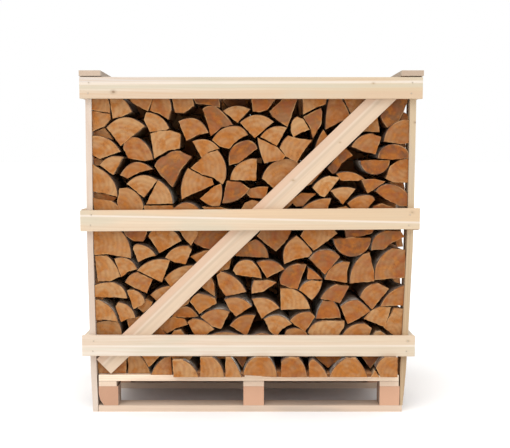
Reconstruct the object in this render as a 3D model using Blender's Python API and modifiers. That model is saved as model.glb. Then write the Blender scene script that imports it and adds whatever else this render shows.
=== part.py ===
import math

import bmesh
import bpy
import numpy as np
from mathutils import Vector
from mathutils.geometry import delaunay_2d_cdt

NAME = "crate_of_birch_firewood"

# Sizes of the timber, in metres
BOARD_W = 0.0745
BOARD_T = 0.0200
SIDE_T = 0.0180
POST_W = 0.0750
ARRIS = 0.0010
GAP = 0.0003
CENTRING = 0.00275

# Pallet, from the ground up
BASE_T = 0.0232
BLOCK_H = 0.0712
STRINGER_T = 0.0185
DECK_T = 0.0226
BASE_W = 0.0750
DECK_W = 0.0950
DECK_COUNT = 6
BLOCK_DEPTH = 0.0750
BASE_X = (-0.5562, 0.5502)
DECK_X = (-0.5541, 0.5375)
BLOCK_X = ((-0.5550, -0.4840), (-0.0277, 0.0470), (0.4686, 0.5414))
STRINGER_X = ((-0.5541, -0.4895), (-0.0277, 0.0470), (0.4686, 0.5375))

# Crate, with its rails' outer faces at this depth and its posts' edges just inside them
HALF_DEPTH = 0.4000
POST_Y = HALF_DEPTH - BOARD_T - GAP
BRACE_Y = POST_Y - BOARD_T
TOP_Z = 1.2050
CAP_T = 0.0195

# Rails: name, left end, right end, height of the middle at the left and at the right end
RAILS = (
    ("bottom", -0.6085, 0.5905, 0.2485, 0.2468),
    ("middle", -0.6060, 0.5992, 0.6988, 0.7066),
    ("top", -0.5996, 0.6002, 1.1648, 1.1640),
)
SIDE_RAIL_MIDDLES = {"bottom": 0.2475, "middle": 0.7020, "top": TOP_Z - BOARD_W / 2}
CAPS = (("left", -0.6009, -0.5247), ("right", 0.5254, 0.6030))

# Posts bow inward to the pallet: height, outer face, inner face
LEFT_POST = (
    (0.000, -0.5765, -0.5575), (0.155, -0.5822, -0.5612), (0.302, -0.5836, -0.5626),
    (0.593, -0.5866, -0.5652), (0.772, -0.5858, -0.5645), (TOP_Z, -0.5822, -0.5610),
)
RIGHT_POST = (
    (BASE_T + GAP, 0.5528, 0.5436), (0.090, 0.5585, 0.5430), (0.155, 0.5632, 0.5421),
    (0.302, 0.5694, 0.5482), (0.593, 0.5792, 0.5576), (0.772, 0.5812, 0.5595),
    (TOP_Z, 0.5818, 0.5600),
)

# Brace from low on the left to high on the right, cut square at its foot
BRACE_FOOT = (-0.5350, 0.1673)
BRACE_HEAD = (0.4980, 1.1650)
BRACE_W = 0.0745

# Rows of logs, front to back, each a log's length deep
LOG_LENGTH = 0.2340
ROW_FRONT = BRACE_Y - 0.0012

# Log ends of one row as corners across and down, each with the bulge of the edge after it,
# in steps of the eye's field from where the front is seen whole
EYE_Y = -3.6367
EYE_Z = 0.9208
EYE_TILT = math.radians(6.311)
EYE_STEPS = 914.0
EYE_MIDDLE = (251.0, 259.1)
ENDS_Y = -0.3680
UPPER = """
92.8 91 0, 105 92 1.5, 110 113 0, 92.8 109.8 0
92.8 111 0, 110 114 0, 110.5 119 0, 104 126.5 0, 92.8 131.5 0
108.5 92 0, 116 95 2.5, 131.6 111.8 0, 121 116.8 0, 113 118.5 0, 111.3 109 0
127 91 0, 153 91 0, 152.5 99 0, 148 110.8 0, 142 108.5 0, 131 101.5 0
154.5 92 0, 165 93 2, 171 110 0, 168.3 119.5 0, 160 114 0, 150 110.5 0
107 127.5 9, 144.5 126 0, 120.7 145.8 0
146.5 112.5 4, 168.8 128 0, 166 130 0, 150 132 0, 144.2 120 0
150.5 133.8 0, 158 131.5 0, 170 130.5 0, 180.5 134 0, 179.5 148.5 0, 168 150.5 0, 154.5 158.5 0
93.3 136 5, 120.3 151.5 0, 112 154.5 0, 100 159 0, 93.8 155 0
123.3 148 5, 138 138 3, 152.8 159 0, 145 161 0, 128 158 0
100 165 4, 122.8 157.2 0, 113.3 174.8 0
120.8 175 9.5, 152.5 169 0, 140 172 0, 127.5 178.5 0
93.5 164 0, 99 168.5 5, 117.3 196.5 0, 105 193.5 0, 93.2 191.5 0
93.8 197.8 0, 112 201.5 1.5, 121 212 0, 117 220 0, 96 220 0
127.3 183.8 6.5, 157.3 180.2 0, 144 197.3 0
119.6 188.5 0, 127 188 4, 143.3 207 0, 141 215 0, 122 215 0, 117.3 203 0
157.8 180.3 4, 172.5 203.5 0, 146 204.3 0
155 166 2, 166 156 2, 180 151.3 0, 191.5 156.5 0, 180.5 170 0, 172.5 187 0, 160 174 0
170.5 92 0, 188 93 1.5, 193.8 105.5 0, 184 112.8 0, 175 112.5 0
179 121.5 8, 208 132.5 0, 199 134.5 0, 186.3 140.5 0
190 91 0, 219 91 0, 219.5 107.5 0, 212 105.5 0, 196 103.5 0
203 109 1, 211.5 106 1, 218 108.5 1, 232.5 124.8 0, 221 127.5 0, 211 136 0
223.3 111 4, 249.5 109.3 0, 237.5 122.8 0
240.3 122.7 7, 273.3 121.8 0, 254.5 138 0
212.5 140 5, 239 126.5 1, 247.5 134.5 0, 238 139.5 0, 229 148.7 0, 220 146.5 0
192.8 141.5 5, 219 148.5 0, 210 151.5 0, 202 157.8 0
191 168 0, 207 153.5 0, 217.5 150.3 3.5, 225.5 178 0, 222.8 184.2 0, 213 177.3 0, 202 174.5 0
188 168.5 0, 203 176.3 0, 212 178.8 0, 213.8 184.3 0, 198 191.5 0, 182 199 3
200 198.7 0, 214 186.5 0, 221 183.8 1.5, 219.5 205.5 1.5, 206 203 0
226.8 181 0, 240 182 0, 249.3 188.7 4, 222.5 203 0
230.5 179.7 4, 246 160.5 1, 256.8 159.3 0, 256 180.5 0
229.5 165 8, 248 140.5 2, 257 148.5 0, 248 155.5 0, 239 162.5 0
173 209.5 7, 200 210 0, 194 221 0, 179 221 0
239 212 0, 245 203 0, 252 200.3 0, 262 202.5 0, 262 214 0, 246 219 0
250 189 0, 258 187 0, 268.3 187 0, 265 199 0, 250 197.5 0, 246 193 0
250.5 92 0, 276 92 0, 274 101 0, 267 110 0, 260 112 0, 253 111.5 0
269.5 111.3 0, 279 103 0, 288 93 0, 299.5 93 0, 293.5 110 0, 287.3 126.7 0, 273 117 0
260.8 136.8 5, 286.8 127.8 0, 276.5 145.8 0
257.8 138 0, 277 147.3 0, 285.3 156 0, 283 159 0, 264.5 163 1
280 148 1, 288 136 0, 297 138.3 0, 312 140 0, 305 149 0, 297 162 0, 286 156.5 0
291.5 124 1, 297 116.8 0, 303 119 0, 309.5 129.5 0, 300 133 0, 293.5 137 0, 291 131 0
302.5 92 0, 327 92 0, 325.5 104 0, 316 107.5 0, 303.5 114.3 0
303.5 117 0, 320.5 108 0, 322 112 0, 321 124 0, 313 138 0, 309.8 127 0
315 150 1, 323.5 130 0, 329 137 0, 331 148 0, 322 156 0
331 93 0, 338.5 95 1.5, 350.5 117.5 0, 340 122 0, 326 129 1.5
341 92 0, 370 91 0, 370 105 0, 352 115 0
262.3 178.5 5, 285 159 1, 298.5 163 0, 296 178 0, 275.5 190 0
270 206 0, 282 194 0, 296 190 0, 292 204 0, 284 212 0
304 168 0, 322 158 0, 324 170 0, 312 184 0, 300 188 0
290 201 0, 302 193 0, 316.5 193.5 0, 309 200 0, 303 206.5 0, 296 206.5 0
302.5 208.5 3, 330.5 198.5 0, 327 210 0, 322 217 0, 308 216 0
312.8 187.3 2, 329 176 0, 339.8 177.5 0, 333 186.5 0, 324.5 197 0, 320 195.5 0
328 168 0, 345 147 0, 353 155.5 0, 342 163 0, 337 172 0, 333 174 0
336.8 174 4, 364 178.8 0, 358 180.8 0, 341 180.3 0
351.8 146.3 3.5, 372 133.8 0, 381 137 0, 375.3 154.3 0, 362 151 0
356 131 0, 378 117 0, 380 131.8 0
381 115 0, 397 96 0, 405.5 94 0, 403 108 0, 399.5 120.5 0, 388 127.5 0, 383 121 0
384 141.3 5, 403 120.8 0, 408 122 0, 407.5 143 0, 400 144 0
378 158 9.5, 407.5 157 0, 396 159.5 0
360.8 161 0, 375 160 0, 389.5 160.3 9.5
390.5 166 0, 400 159.8 0, 408 159 0, 407.3 182.3 0, 393 182 0, 385.8 178.5 0
361.3 179.8 0, 375 179 0, 384.8 181.5 0, 373 190 0, 367.5 193 0
375.8 191.3 9, 407.5 206.5 0, 400 206 0, 386 199.3 0
330.8 190.8 2.5, 355 189 0, 343 204.3 0
347.8 203.5 3, 370 195.5 1, 374.3 199.8 0, 366.5 209.5 0, 354 212 0
371 212 0, 374 206 0, 382 203.5 0, 397 209 0, 396 218 0, 375 219 0
"""
LOWER = """
94.5 227 0, 115 226 5, 130.8 258 0, 119 256 0, 109 254 0, 94.8 254.5 0
95 255.8 0, 107 255.8 2, 120.3 276.5 0, 111 280.8 0, 98 281.5 0
115 258.7 1.5, 129 259.3 1, 137 268.8 0, 129 271 0, 121.3 276.7 0
121 225 0, 148 225 0, 146.5 234 0, 143 241.5 0, 134 241 0, 126 236 0
133.3 249 1, 136.5 244.3 3, 155.8 255.5 0, 146 258 0, 138.3 262 0
148.7 236 1, 156 228 0, 168 228 2, 181 240.5 0, 168 248 0, 159.5 252.8 0
137.5 270.3 5, 170 260.3 0, 162 282 0
125.7 282 2, 137 272.3 0, 152.5 279.5 0, 147 292.8 0, 134 287 0
164.3 279 4, 194 266 0, 188 280 0, 172 289 0
96 287.5 7.5, 127 297.8 0, 112 297 0, 96 296.5 0
127.3 290.5 0, 134 290 2.5, 144.8 302 0, 142 305 0, 133.5 308.8 0
150.5 295.5 2, 168 286.8 0, 175 289 0, 166 300 0, 158 302.5 0
145 299.5 0, 152 303 0, 149 309 0, 143 313 0, 137 308.5 0
94.3 299.5 0, 99 300 4, 117.8 321.3 0, 106 319.5 0, 95.5 319.5 0
115.7 306.5 0, 118.5 302.2 4, 135.3 317.5 0, 127 319 0, 121.3 321.8 0
97 333 3, 109 321.8 0, 117.5 322.3 1, 121 336 0, 116 343 0, 99 343 0
126.5 320.5 0, 139 317.5 0, 148 327 0, 143 338 0, 130 336 0
156 325 0, 172 317.5 0, 184 319.5 0, 187.5 325 0, 176 328.5 0, 167 334 0
146 341 0, 160 327 0, 166 336 0, 163 346 0, 150 347 0
176 225 0, 199 225 0, 197.5 235 0, 191 245.5 0, 184 237.5 0
200 225 0, 232 225 0, 226 238 0, 211 250 0, 203 248 0, 193.5 243 0
165.5 257.5 4, 188 246 0, 191.5 250 0, 185.5 264 0, 175 262.3 0
190.5 257 0, 203 251.5 0, 213 250 0, 208 262 0, 198 263.5 0
235 256 0, 246 243 0, 256 240 3, 268.5 258 0, 252 257.5 0
233.2 270 5, 252 261.3 2, 261.3 278 0, 246 276 0, 236 274.5 0
216.8 275.5 0, 221 271.8 4, 245.8 291.5 0, 232 294.8 0, 226 296 0, 219.5 287 0
200 286 0, 210 276 0, 214 285 0, 214.5 297 0, 206 291 0
190.3 301.5 1, 198 293.5 1, 215 298.5 0, 216.5 303 0, 206 309 0, 199.5 313.5 0
172 317 10, 198 316.8 0, 185 318.2 0
201 316.8 5, 229.5 311.7 0, 221 328.5 0, 213 326.5 0
224.8 299.5 5, 251.5 306 0, 236 316 0, 229.5 309 0
230.3 325.5 4.5, 255 315.5 0, 246.5 336 0
187.8 322 0, 193 318.8 3, 213.8 329 0, 202 337 0, 196 337 0
168 339 0, 174 331 0, 181 330 0, 187 339 0, 180 346 0, 170 346 0
204 338 6, 246 338 0, 236 350 0, 214 350 0
257 236.5 0, 264 226 0, 293 226 0, 288 239 0, 276 251.5 0, 266 244 0
296.5 236 1, 312 252.5 0, 309 256.5 0, 296 259 0, 284.5 263.8 6
300.7 236 0, 306 227 0, 332 227 0, 337.3 233.5 0, 324 243.5 0, 313.5 250.5 0
309.7 259 3, 326 250 2, 339.5 256.8 0, 324.8 274.3 0
257.3 262.3 5, 284.3 269 0, 275 273.3 0, 267 277.8 0
280 280 4, 297 264 0, 306.3 264.7 0, 297.3 289 0, 289 287.5 0, 280.5 284 0
307.3 279 0, 308.3 268 1, 322 279.3 0
299.2 289.7 2, 311 280.5 0, 321.8 281.5 2, 311.5 299.5 0, 305 294 0
252 293.5 1, 254 281 0, 268 280.2 0, 276.5 282.5 0, 263 291.5 0
252.3 299 5, 279.3 308 0, 269 313 0, 261.5 318.3 0
280.3 288.8 0, 291 288.5 4, 309.8 308.5 0, 281 309.8 0
264.2 319 6, 291.5 323.5 0, 282 328.5 0, 276.5 336.5 0, 270 331 0
290.2 320.5 3, 310 312 0, 315 316.8 0, 305 331.3 0, 295 325 0
316.3 318.5 1, 323 301 0, 333 301.5 2, 340.3 317.8 0
308 332.5 3, 322 320.8 0, 344.3 321 0, 344 326 0, 338 336 0, 334 342 0, 315 342 0
285 338 1, 287 330 2.5, 305 331.5 0, 311 339 0, 305 347 0, 289 347 0
249 338 5, 275 338 0, 269 348 0, 255 348 0
334 239.5 0, 352 237.3 0, 370.5 238.3 17.5
344 225 0, 376 225 0, 372 233 0, 360 236.5 0, 346 237.5 0
371.5 250 5, 386 230.5 0, 400 231 0, 402.8 236.5 0, 391 243 0, 384 249 0
375 279.5 6, 392 248.3 0, 403.5 250 0, 403.5 277.5 0
350 283 4, 363 254.5 0, 369.3 252.3 0, 373.8 272 0, 373.8 281 0
325 279 4, 343 262 0, 349.8 262.5 0, 347 272 0, 346.8 282.5 0
321 298.5 2, 336 284.5 0, 349 286.5 0, 344 296 0, 340 303 0, 332 301 0
360.3 297 4, 378 283.3 0, 388.8 288.8 0, 380 299.5 0, 372 309.5 0
380.5 306 4, 402.8 285.3 0, 403 305 0
340.7 306.5 2, 357 299.8 1, 369.8 310.8 0, 357 319 0, 347.5 323.5 0
364 318.8 2, 380 306.8 0, 391 307 0, 385 327 0
394 308 0, 402.3 309 0, 402 335 0, 394 335.5 0, 384 327.5 0
341 338 5, 364 323.5 0, 371.5 328 0, 366 342 0, 346 344 0
370 340 0, 376 332 0, 381 331.5 0, 389 338 0, 384 347 0, 372 347 0
"""
FOOT = """
97 353 0, 124 353 0, 126 362 0, 125.5 374 0, 98 374 0
127.5 353 0, 137 354 2, 150 375 0, 128 375 0
141 354 0, 162 354 0, 149 366.5 0
151.5 375 2, 164 358 0, 171 356 0, 172.5 375.5 0
172.5 360.5 0, 183 360.5 3, 198.3 376 0, 173.5 376 0
165 350 0, 197 350 0, 189 360 0, 174 359.5 0
200.3 352 0, 211 354 3, 224 376 0, 200.5 376 0
225.7 353 0, 230 356 1, 241.5 376 0, 225.5 376 0
232 352 0, 250 352 0, 242.5 367 0
243.5 375 3, 256 356.5 0, 268 356.5 2, 276.8 376 0
281 376 0, 281.5 362 1, 289 357.5 0, 299 358.5 2, 306.5 376 0
309.3 376 0, 309 364 1, 313 359.5 2, 327.8 376 0
310 352 0, 347 352 0, 328 367.5 0
329.5 375.5 2.5, 346 358.5 0, 356 358.5 1.5, 367.5 376 0
358 352 0, 383 352 0, 370 368 0
371 376 0, 375 370.5 0, 379.5 376 0
376.3 368 1.5, 385 357 0, 397.5 356.5 0, 397.5 376 0, 380.5 376 0
"""
# Logs behind the rails, which carry the courses above them
HIDDEN = """
93 83 3, 112 84 0, 124 92 0, 108 91 0, 94 90 0
126 90 4, 152 82 0, 156 91 0
158 91 4, 182 84 0, 186 92 0
190 90 5, 214 82 0, 220 90 0
222 100 2, 236 92 0, 249 98 0, 246 105 0, 229 106 0
225 91 3, 240 84 0, 256 91 0, 240 92 0
258 91 4, 282 83 0, 287 92 0
300 91 5, 324 83 0, 330 92 0
334 92 4, 356 83 0, 368 90 0
372 90 4, 394 84 0, 406 93 0, 384 104 0
97 222 0, 118 221 0, 114 225.5 0, 96 226 0
122 216.5 2, 142 217 0, 149 224 0, 124 224 0
144 206 0, 172 205.5 0, 176 213 0, 166 221 0, 147 219 0
151 222.5 0, 168 222 0, 174 225 0, 160 227.5 0
178 222.5 0, 196 222.5 0, 203 212 0, 214 218 0, 210 224 0, 180 224.5 0
202 207 0, 220 207 0, 238 213 0, 234 222 0, 216 220 0
240 220 2, 262 215 0, 276 207 0, 286 214 0, 280 224.5 0, 262 225 0
288 214 0, 304 209 0, 308 217 0, 322 219 0, 318 226 0, 296 225 0
326 212 0, 346 206 0, 353 213 0, 368 211 0, 366 223.5 0, 328 224.5 0
370 220.5 0, 396 219.5 0, 402 226 0, 386 229.5 0, 378 224 0
98 344.5 0, 116 344.5 0, 124 340 0, 142 340 0, 146 351 0, 98 351.5 0
147 348.5 0, 163 347.5 0, 170 347.5 0, 180 347.5 0, 186 341 0, 203 339 0, 212 349 0, 150 353 0
213 351.5 0, 237 351.5 0, 247 340.5 0, 255 350 0, 262 351 0, 254 356 0, 218 359 0
256 350.5 0, 269 349.5 0, 277 339 0, 285 340 0, 289 349 0, 305 349 0, 308 357 0, 270 355.5 0
306 348 0, 312 342 0, 334 343.5 0, 345 345 0, 366 343.5 0, 370 350.5 0, 310 351 0
232 228 0, 250 232 0, 240 246 0, 224 252 0, 218 244 0
214 253 0, 232 256 0, 229 269 0, 215 274 0, 206 265 0
196 266 0, 212 272 0, 206 282 0, 194 292 0, 186 284 0
178 288 0, 192 294 0, 188 304 0, 174 312 0, 166 303 0
151 306 0, 170 313 0, 156 323 0, 145 317 0
340 124 0, 352 117 0, 364 118 0, 354 132 0, 344 138 0, 334 134 0
334 140 0, 346 138 0, 358 134 0, 346 146 0, 336 156 0, 328 150 0
372 104 0, 392 100 0, 380 114 0, 366 117 0
371 349 0, 385 348 0, 390 338 0, 401 337 0, 400 355 0, 386 355.5 0, 372 351.5 0
"""

# For each row: growth of each log's outline so that neighbours touch, smallest gap left open in
# square metres, and how far a corner must stand off the line between its neighbours
ROW_LIMITS = {
    "front": (0.0048, 0.00009, 0.0011),
    "middle": (0.0080, 0.00070, 0.0036),
    "back": (0.0062, 0.00034, 0.0032),
}

COLOURS = {
    "pale_spruce": ((0.79, 0.66, 0.50), 0.62),
    "weathered_spruce": ((0.66, 0.54, 0.40), 0.72),
    "pallet_block": ((0.64, 0.41, 0.28), 0.78),
    "cut_birch": ((0.52, 0.27, 0.12), 0.74),
}


def clear_scene():
    for item in list(bpy.data.objects):
        bpy.data.objects.remove(item)


def material(name):
    colour, rough = COLOURS[name]
    found = bpy.data.materials.get(name)
    if found:
        return found
    made = bpy.data.materials.new(name)
    made.use_nodes = True
    shader = made.node_tree.nodes["Principled BSDF"]
    shader.inputs["Base Color"].default_value = (*colour, 1.0)
    shader.inputs["Roughness"].default_value = rough
    shader.inputs["Metallic"].default_value = 0.0
    return made


def finish(name, bm, slot):
    # Every piece moves over by the same step, which puts the rails' and caps' ends evenly about the middle
    bmesh.ops.translate(bm, verts=bm.verts, vec=(CENTRING, 0.0, 0.0))
    bmesh.ops.recalc_face_normals(bm, faces=bm.faces)
    mesh = bpy.data.meshes.new(name)
    bm.to_mesh(mesh)
    bm.free()
    mesh.materials.append(material(slot))
    made = bpy.data.objects.new(name, mesh)
    bpy.data.collections[NAME].objects.link(made)
    return made


def loft(name, sections, slot, arris=0.0):
    # A closed body through rings of corners, the same number in each
    bm = bmesh.new()
    rings = [[bm.verts.new(p) for p in ring] for ring in sections]
    for low, high in zip(rings, rings[1:]):
        for n in range(len(low)):
            m = (n + 1) % len(low)
            bm.faces.new((low[n], low[m], high[m], high[n]))
    bm.faces.new(rings[0][::-1])
    bm.faces.new(rings[-1])
    made = finish(name, bm, slot)
    if arris:
        bevel = made.modifiers.new("arris", "BEVEL")
        bevel.width = arris
        bevel.segments = 1
        bevel.limit_method = "ANGLE"
        bevel.angle_limit = math.radians(40)
    return made


def box(name, x, y, z, slot, arris=0.0):
    rings = [[(x[0], v, w), (x[1], v, w), (x[1], y[1], w), (x[0], y[1], w)] for v, w in
             ((y[0], z[0]), (y[0], z[1]))]
    return loft(name, rings, slot, arris)


def rails():
    for side, near in (("front", -1), ("back", 1)):
        for name, left, right, low, high in RAILS:
            ends = ((left, low), (right, high))
            faces = sorted((near * HALF_DEPTH, near * (HALF_DEPTH - BOARD_T)))
            rings = [[(x, faces[0], z - BOARD_W / 2), (x, faces[1], z - BOARD_W / 2),
                      (x, faces[1], z + BOARD_W / 2), (x, faces[0], z + BOARD_W / 2)] for x, z in ends]
            loft(f"{name}_{side}_rail", rings, "pale_spruce", ARRIS)


def face_at(post, z, column):
    return float(np.interp(z, [p[0] for p in post], [p[column] for p in post]))


def side_rails():
    reach = HALF_DEPTH - BOARD_T - GAP
    for side, post, way in (("left", LEFT_POST, -1), ("right", RIGHT_POST, 1)):
        for name, middle in SIDE_RAIL_MIDDLES.items():
            z = (middle - BOARD_W / 2, middle + BOARD_W / 2)
            heights = np.linspace(z[0], z[1], 9)
            inner = way * max(way * face_at(post, h, 1) for h in heights) + way * GAP
            x = sorted((inner, inner + way * SIDE_T))
            box(f"{name}_{side}_side_rail", x, (-reach, reach), z, "pale_spruce")


def posts():
    spots = (("front", -POST_Y), ("middle", -POST_W / 2), ("back", POST_Y - POST_W))
    for side, post in (("left", LEFT_POST), ("right", RIGHT_POST)):
        for place, near in spots:
            rings = []
            for z, outer, inner in post:
                a, b = sorted((outer, inner))
                rings.append([(a, near, z), (b, near, z), (b, near + POST_W, z), (a, near + POST_W, z)])
            loft(f"{place}_{side}_post", rings, "pale_spruce")


def cap_boards():
    for side, left, right in CAPS:
        low = TOP_Z + GAP
        box(f"{side}_cap_board", (left, right), (-HALF_DEPTH, HALF_DEPTH), (low, low + CAP_T),
            "weathered_spruce", ARRIS)


def braces():
    foot, head = Vector(BRACE_FOOT), Vector(BRACE_HEAD)
    along = (head - foot).normalized()
    across = Vector((-along.y, along.x)) * BRACE_W / 2
    corners = [foot - across, head - across, head + across, foot + across]
    for side, y in (("front", (-POST_Y, -BRACE_Y)), ("back", (BRACE_Y, POST_Y))):
        turn = 1 if side == "front" else -1
        shift = 0.0 if side == "front" else -0.0180
        rings = [[(turn * c.x + shift, v, c.y) for c in corners] for v in y]
        loft(f"{side}_brace", rings, "pale_spruce", ARRIS)


def pallet():
    middles = (("front", -POST_Y + BLOCK_DEPTH / 2), ("middle", 0.0), ("back", POST_Y - BLOCK_DEPTH / 2))
    low, high = BASE_T + GAP, BASE_T + GAP + BLOCK_H
    for place, y in middles:
        span = (y - BASE_W / 2, y + BASE_W / 2)
        left = BASE_X[0] if place != "middle" else BASE_X[0] + 0.004
        box(f"{place}_base_board", (left, BASE_X[1]), span, (0.0, BASE_T), "weathered_spruce")
        for side, x in zip(("left", "middle", "right"), BLOCK_X):
            depth = (y - BLOCK_DEPTH / 2, y + BLOCK_DEPTH / 2)
            if (place, side) == ("front", "left"):
                # the tree's own edge takes this block's outer lower corner
                profile = [(x[0] + 0.0190, low), (x[1], low), (x[1], high), (x[0], high),
                           (x[0], low + 0.0420), (x[0] + 0.0060, low + 0.0190)]
                loft(f"{place}_{side}_block", [[(u, v, w) for u, w in profile] for v in depth],
                     "pallet_block")
            else:
                box(f"{place}_{side}_block", x, depth, (low, high), "pallet_block")
    low = high + GAP
    high = low + STRINGER_T
    for side, x in zip(("left", "middle", "right"), STRINGER_X):
        box(f"{side}_stringer", x, (-POST_Y, POST_Y), (low, high), "weathered_spruce")
    low = high + GAP
    step = (2 * POST_Y - DECK_W) / (DECK_COUNT - 1)
    for n in range(DECK_COUNT):
        y = -POST_Y + n * step
        box(f"deck_board_{n + 1}", DECK_X, (y, y + DECK_W), (low, low + DECK_T), "weathered_spruce",
            ARRIS if n == 0 else 0.0)
    return low + DECK_T


def seen(x, y):
    # Where a point of the field lies on the plane of the log ends
    rise = (EYE_MIDDLE[1] - y) / EYE_STEPS
    reach = (ENDS_Y - EYE_Y) / (math.cos(EYE_TILT) + rise * math.sin(EYE_TILT))
    return (reach * (x - EYE_MIDDLE[0]) / EYE_STEPS,
            EYE_Z + reach * (rise * math.cos(EYE_TILT) - math.sin(EYE_TILT)))


def outlines():
    found = []
    for line in (UPPER + LOWER + FOOT + HIDDEN).strip().splitlines():
        if not line.strip():
            continue
        corners = [[float(v) for v in corner.split()] for corner in line.split(",")]
        outline = []
        area = sum(a[0] * b[1] - b[0] * a[1] for a, b in zip(corners, corners[1:] + corners[:1]))
        turn = 1 if area > 0 else -1
        for (x0, y0, bulge), (x1, y1, _) in zip(corners, corners[1:] + corners[:1]):
            outline.append((x0, y0))
            length = math.hypot(x1 - x0, y1 - y0)
            steps = 1 if bulge < 1.2 else 2 if bulge < 6 else 4 if bulge > 12 else 3
            for n in range(1, steps):
                t = n / steps
                rise = bulge * 4 * t * (1 - t)
                if bulge > 12:
                    t = (1 - math.cos(math.pi * t)) / 2
                    rise = bulge * 2 * math.sqrt(t * (1 - t))
                outline.append((x0 + (x1 - x0) * t + turn * rise * (y1 - y0) / length,
                                y0 + (y1 - y0) * t - turn * rise * (x1 - x0) / length))
        found.append([Vector(seen(x, y)) for x, y in outline])
    return found


def grown(outline, by, floor):
    # Each corner moves out along its bisector, and none goes under the deck
    area = sum(a.x * b.y - b.x * a.y for a, b in zip(outline, outline[1:] + outline[:1]))
    points = outline if area > 0 else outline[::-1]
    made = []
    for n, here in enumerate(points):
        into = (here - points[n - 1]).normalized()
        out = (points[(n + 1) % len(points)] - here).normalized()
        normal = Vector((into.y, -into.x)) + Vector((out.y, -out.x))
        normal.normalize()
        lean = max(0.62, normal.dot(Vector((out.y, -out.x))))
        spot = here + normal * by / lean
        made.append(Vector((spot.x, max(spot.y, floor))))
    return made


def log_row(place, outlines_, near, floor, flip=1):
    by, smallest, least = ROW_LIMITS[place]
    points, faces = [], []
    for outline in outlines_:
        ring = grown(outline, by, floor)
        if flip < 0:
            ring = [Vector((-0.982 * p.x - 0.004, p.y)) for p in ring[::-1]]
        ring = [Vector((min(max(p.x, face_at(LEFT_POST, p.y, 2) + 0.0015),
                            face_at(RIGHT_POST, p.y, 2) - 0.0035), p.y)) for p in ring]
        faces.append(list(range(len(points), len(points) + len(ring))))
        points += ring
    frame = len(faces)
    faces.append(list(range(len(points), len(points) + 4)))
    points += [Vector(p) for p in ((-0.7, 0.0), (0.7, 0.0), (0.7, 1.4), (-0.7, 1.4))]
    verts, _, cells, _, _, owners = delaunay_2d_cdt(points, [], faces, 1, 0.00002, True)
    owners = [[k for k in owner if k != frame] for owner in owners]
    bm = bmesh.new()
    spots = [bm.verts.new((p.x, near, p.y)) for p in verts]
    for cell in filled(verts, cells, owners, smallest):
        bm.faces.new([spots[n] for n in cell])
    bmesh.ops.delete(bm, geom=[v for v in bm.verts if not v.link_faces], context="VERTS")
    bmesh.ops.dissolve_limit(bm, angle_limit=0.01, verts=bm.verts, edges=bm.edges,
                             use_dissolve_boundaries=False)
    straighten(bm, least)
    bmesh.ops.recalc_face_normals(bm, faces=bm.faces)
    lifted = bmesh.ops.extrude_face_region(bm, geom=bm.faces[:])
    moved = [g for g in lifted["geom"] if isinstance(g, bmesh.types.BMVert)]
    bmesh.ops.translate(bm, verts=moved, vec=(0.0, LOG_LENGTH, 0.0))
    return finish(f"firewood_{place}_row", bm, "cut_birch")


def filled(verts, cells, owners, smallest):
    # Cells that logs cover, with gaps under an area in square metres closed, and a corner of a gap
    # filled wherever two gaps would meet at one point
    sides = {}
    for n, cell in enumerate(cells):
        for a, b in zip(cell, cell[1:] + cell[:1]):
            sides.setdefault(frozenset((a, b)), []).append(n)
    gap_of, gaps = {}, []
    for n, owner in enumerate(owners):
        if owner or n in gap_of:
            continue
        gap, seeds = [], [n]
        gap_of[n] = len(gaps)
        while seeds:
            cell = seeds.pop()
            gap.append(cell)
            for a, b in zip(cells[cell], cells[cell][1:] + cells[cell][:1]):
                for other in sides[frozenset((a, b))]:
                    if not owners[other] and other not in gap_of:
                        gap_of[other] = len(gaps)
                        seeds.append(other)
        gaps.append(gap)

    def area(gap):
        total = 0.0
        for n in gap:
            ring = [verts[k] for k in cells[n]]
            total += abs(sum(a.x * b.y - b.x * a.y for a, b in zip(ring, ring[1:] + ring[:1]))) / 2
        return total

    def around(n):
        return [other for a, b in zip(cells[n], cells[n][1:] + cells[n][:1])
                for other in sides[frozenset((a, b))] if other != n]

    def bridges(solid):
        # The fewest cells that join the smallest group of logs to the rest, where it doesn't touch yet
        left, groups = {n for n in range(len(cells)) if solid[n]}, []
        while left:
            group = {left.pop()}
            seeds = list(group)
            while seeds:
                fresh = [n for n in around(seeds.pop()) if n in left]
                left.difference_update(fresh)
                group.update(fresh)
                seeds += fresh
            groups.append(group)
        if len(groups) == 1:
            return set()
        small = min(groups, key=lambda g: (area(g), min(g)))
        came, front = {n: None for n in small}, sorted(small)
        for here in front:
            for n in around(here):
                if n in came:
                    continue
                came[n] = here
                front.append(n)
                if solid[n]:
                    path, here = set(), came[n]
                    while here is not None and here not in small:
                        path.add(here)
                        here = came[here]
                    return path
        return set()

    areas = [area(gap) for gap in gaps]
    solid = [bool(owner) or areas[gap_of[n]] < smallest for n, owner in enumerate(owners)]
    while True:
        edges_at = {}
        for side, users in sides.items():
            if sum(solid[n] for n in users) == 1:
                for corner in side:
                    edges_at.setdefault(corner, []).append(side)
        pinched = [corner for corner, found in edges_at.items() if len(found) > 2]
        closing = set()
        for corner in pinched:
            near = {n for side in edges_at[corner] for n in sides[side] if not solid[n]}
            if near:
                closing.add(min(near, key=lambda n: area([n])))
        closing = closing or bridges(solid)
        if not closing:
            print(f"  {sum(a >= smallest for a in areas)} gaps left open")
            return [cell for n, cell in enumerate(cells) if solid[n]]
        for n in closing:
            solid[n] = True


def straighten(bm, least):
    # Corners that barely leave the line between their neighbours go
    for _ in range(2):
        spare = []
        for vert in bm.verts:
            if len(vert.link_edges) != 2:
                continue
            a, b = (e.other_vert(vert).co for e in vert.link_edges)
            line = b - a
            if line.length > 1e-6 and (vert.co - a).cross(line).length / line.length < least:
                if not any(e.other_vert(vert) in spare for e in vert.link_edges):
                    spare.append(vert)
        bmesh.ops.dissolve_verts(bm, verts=spare)


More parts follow.
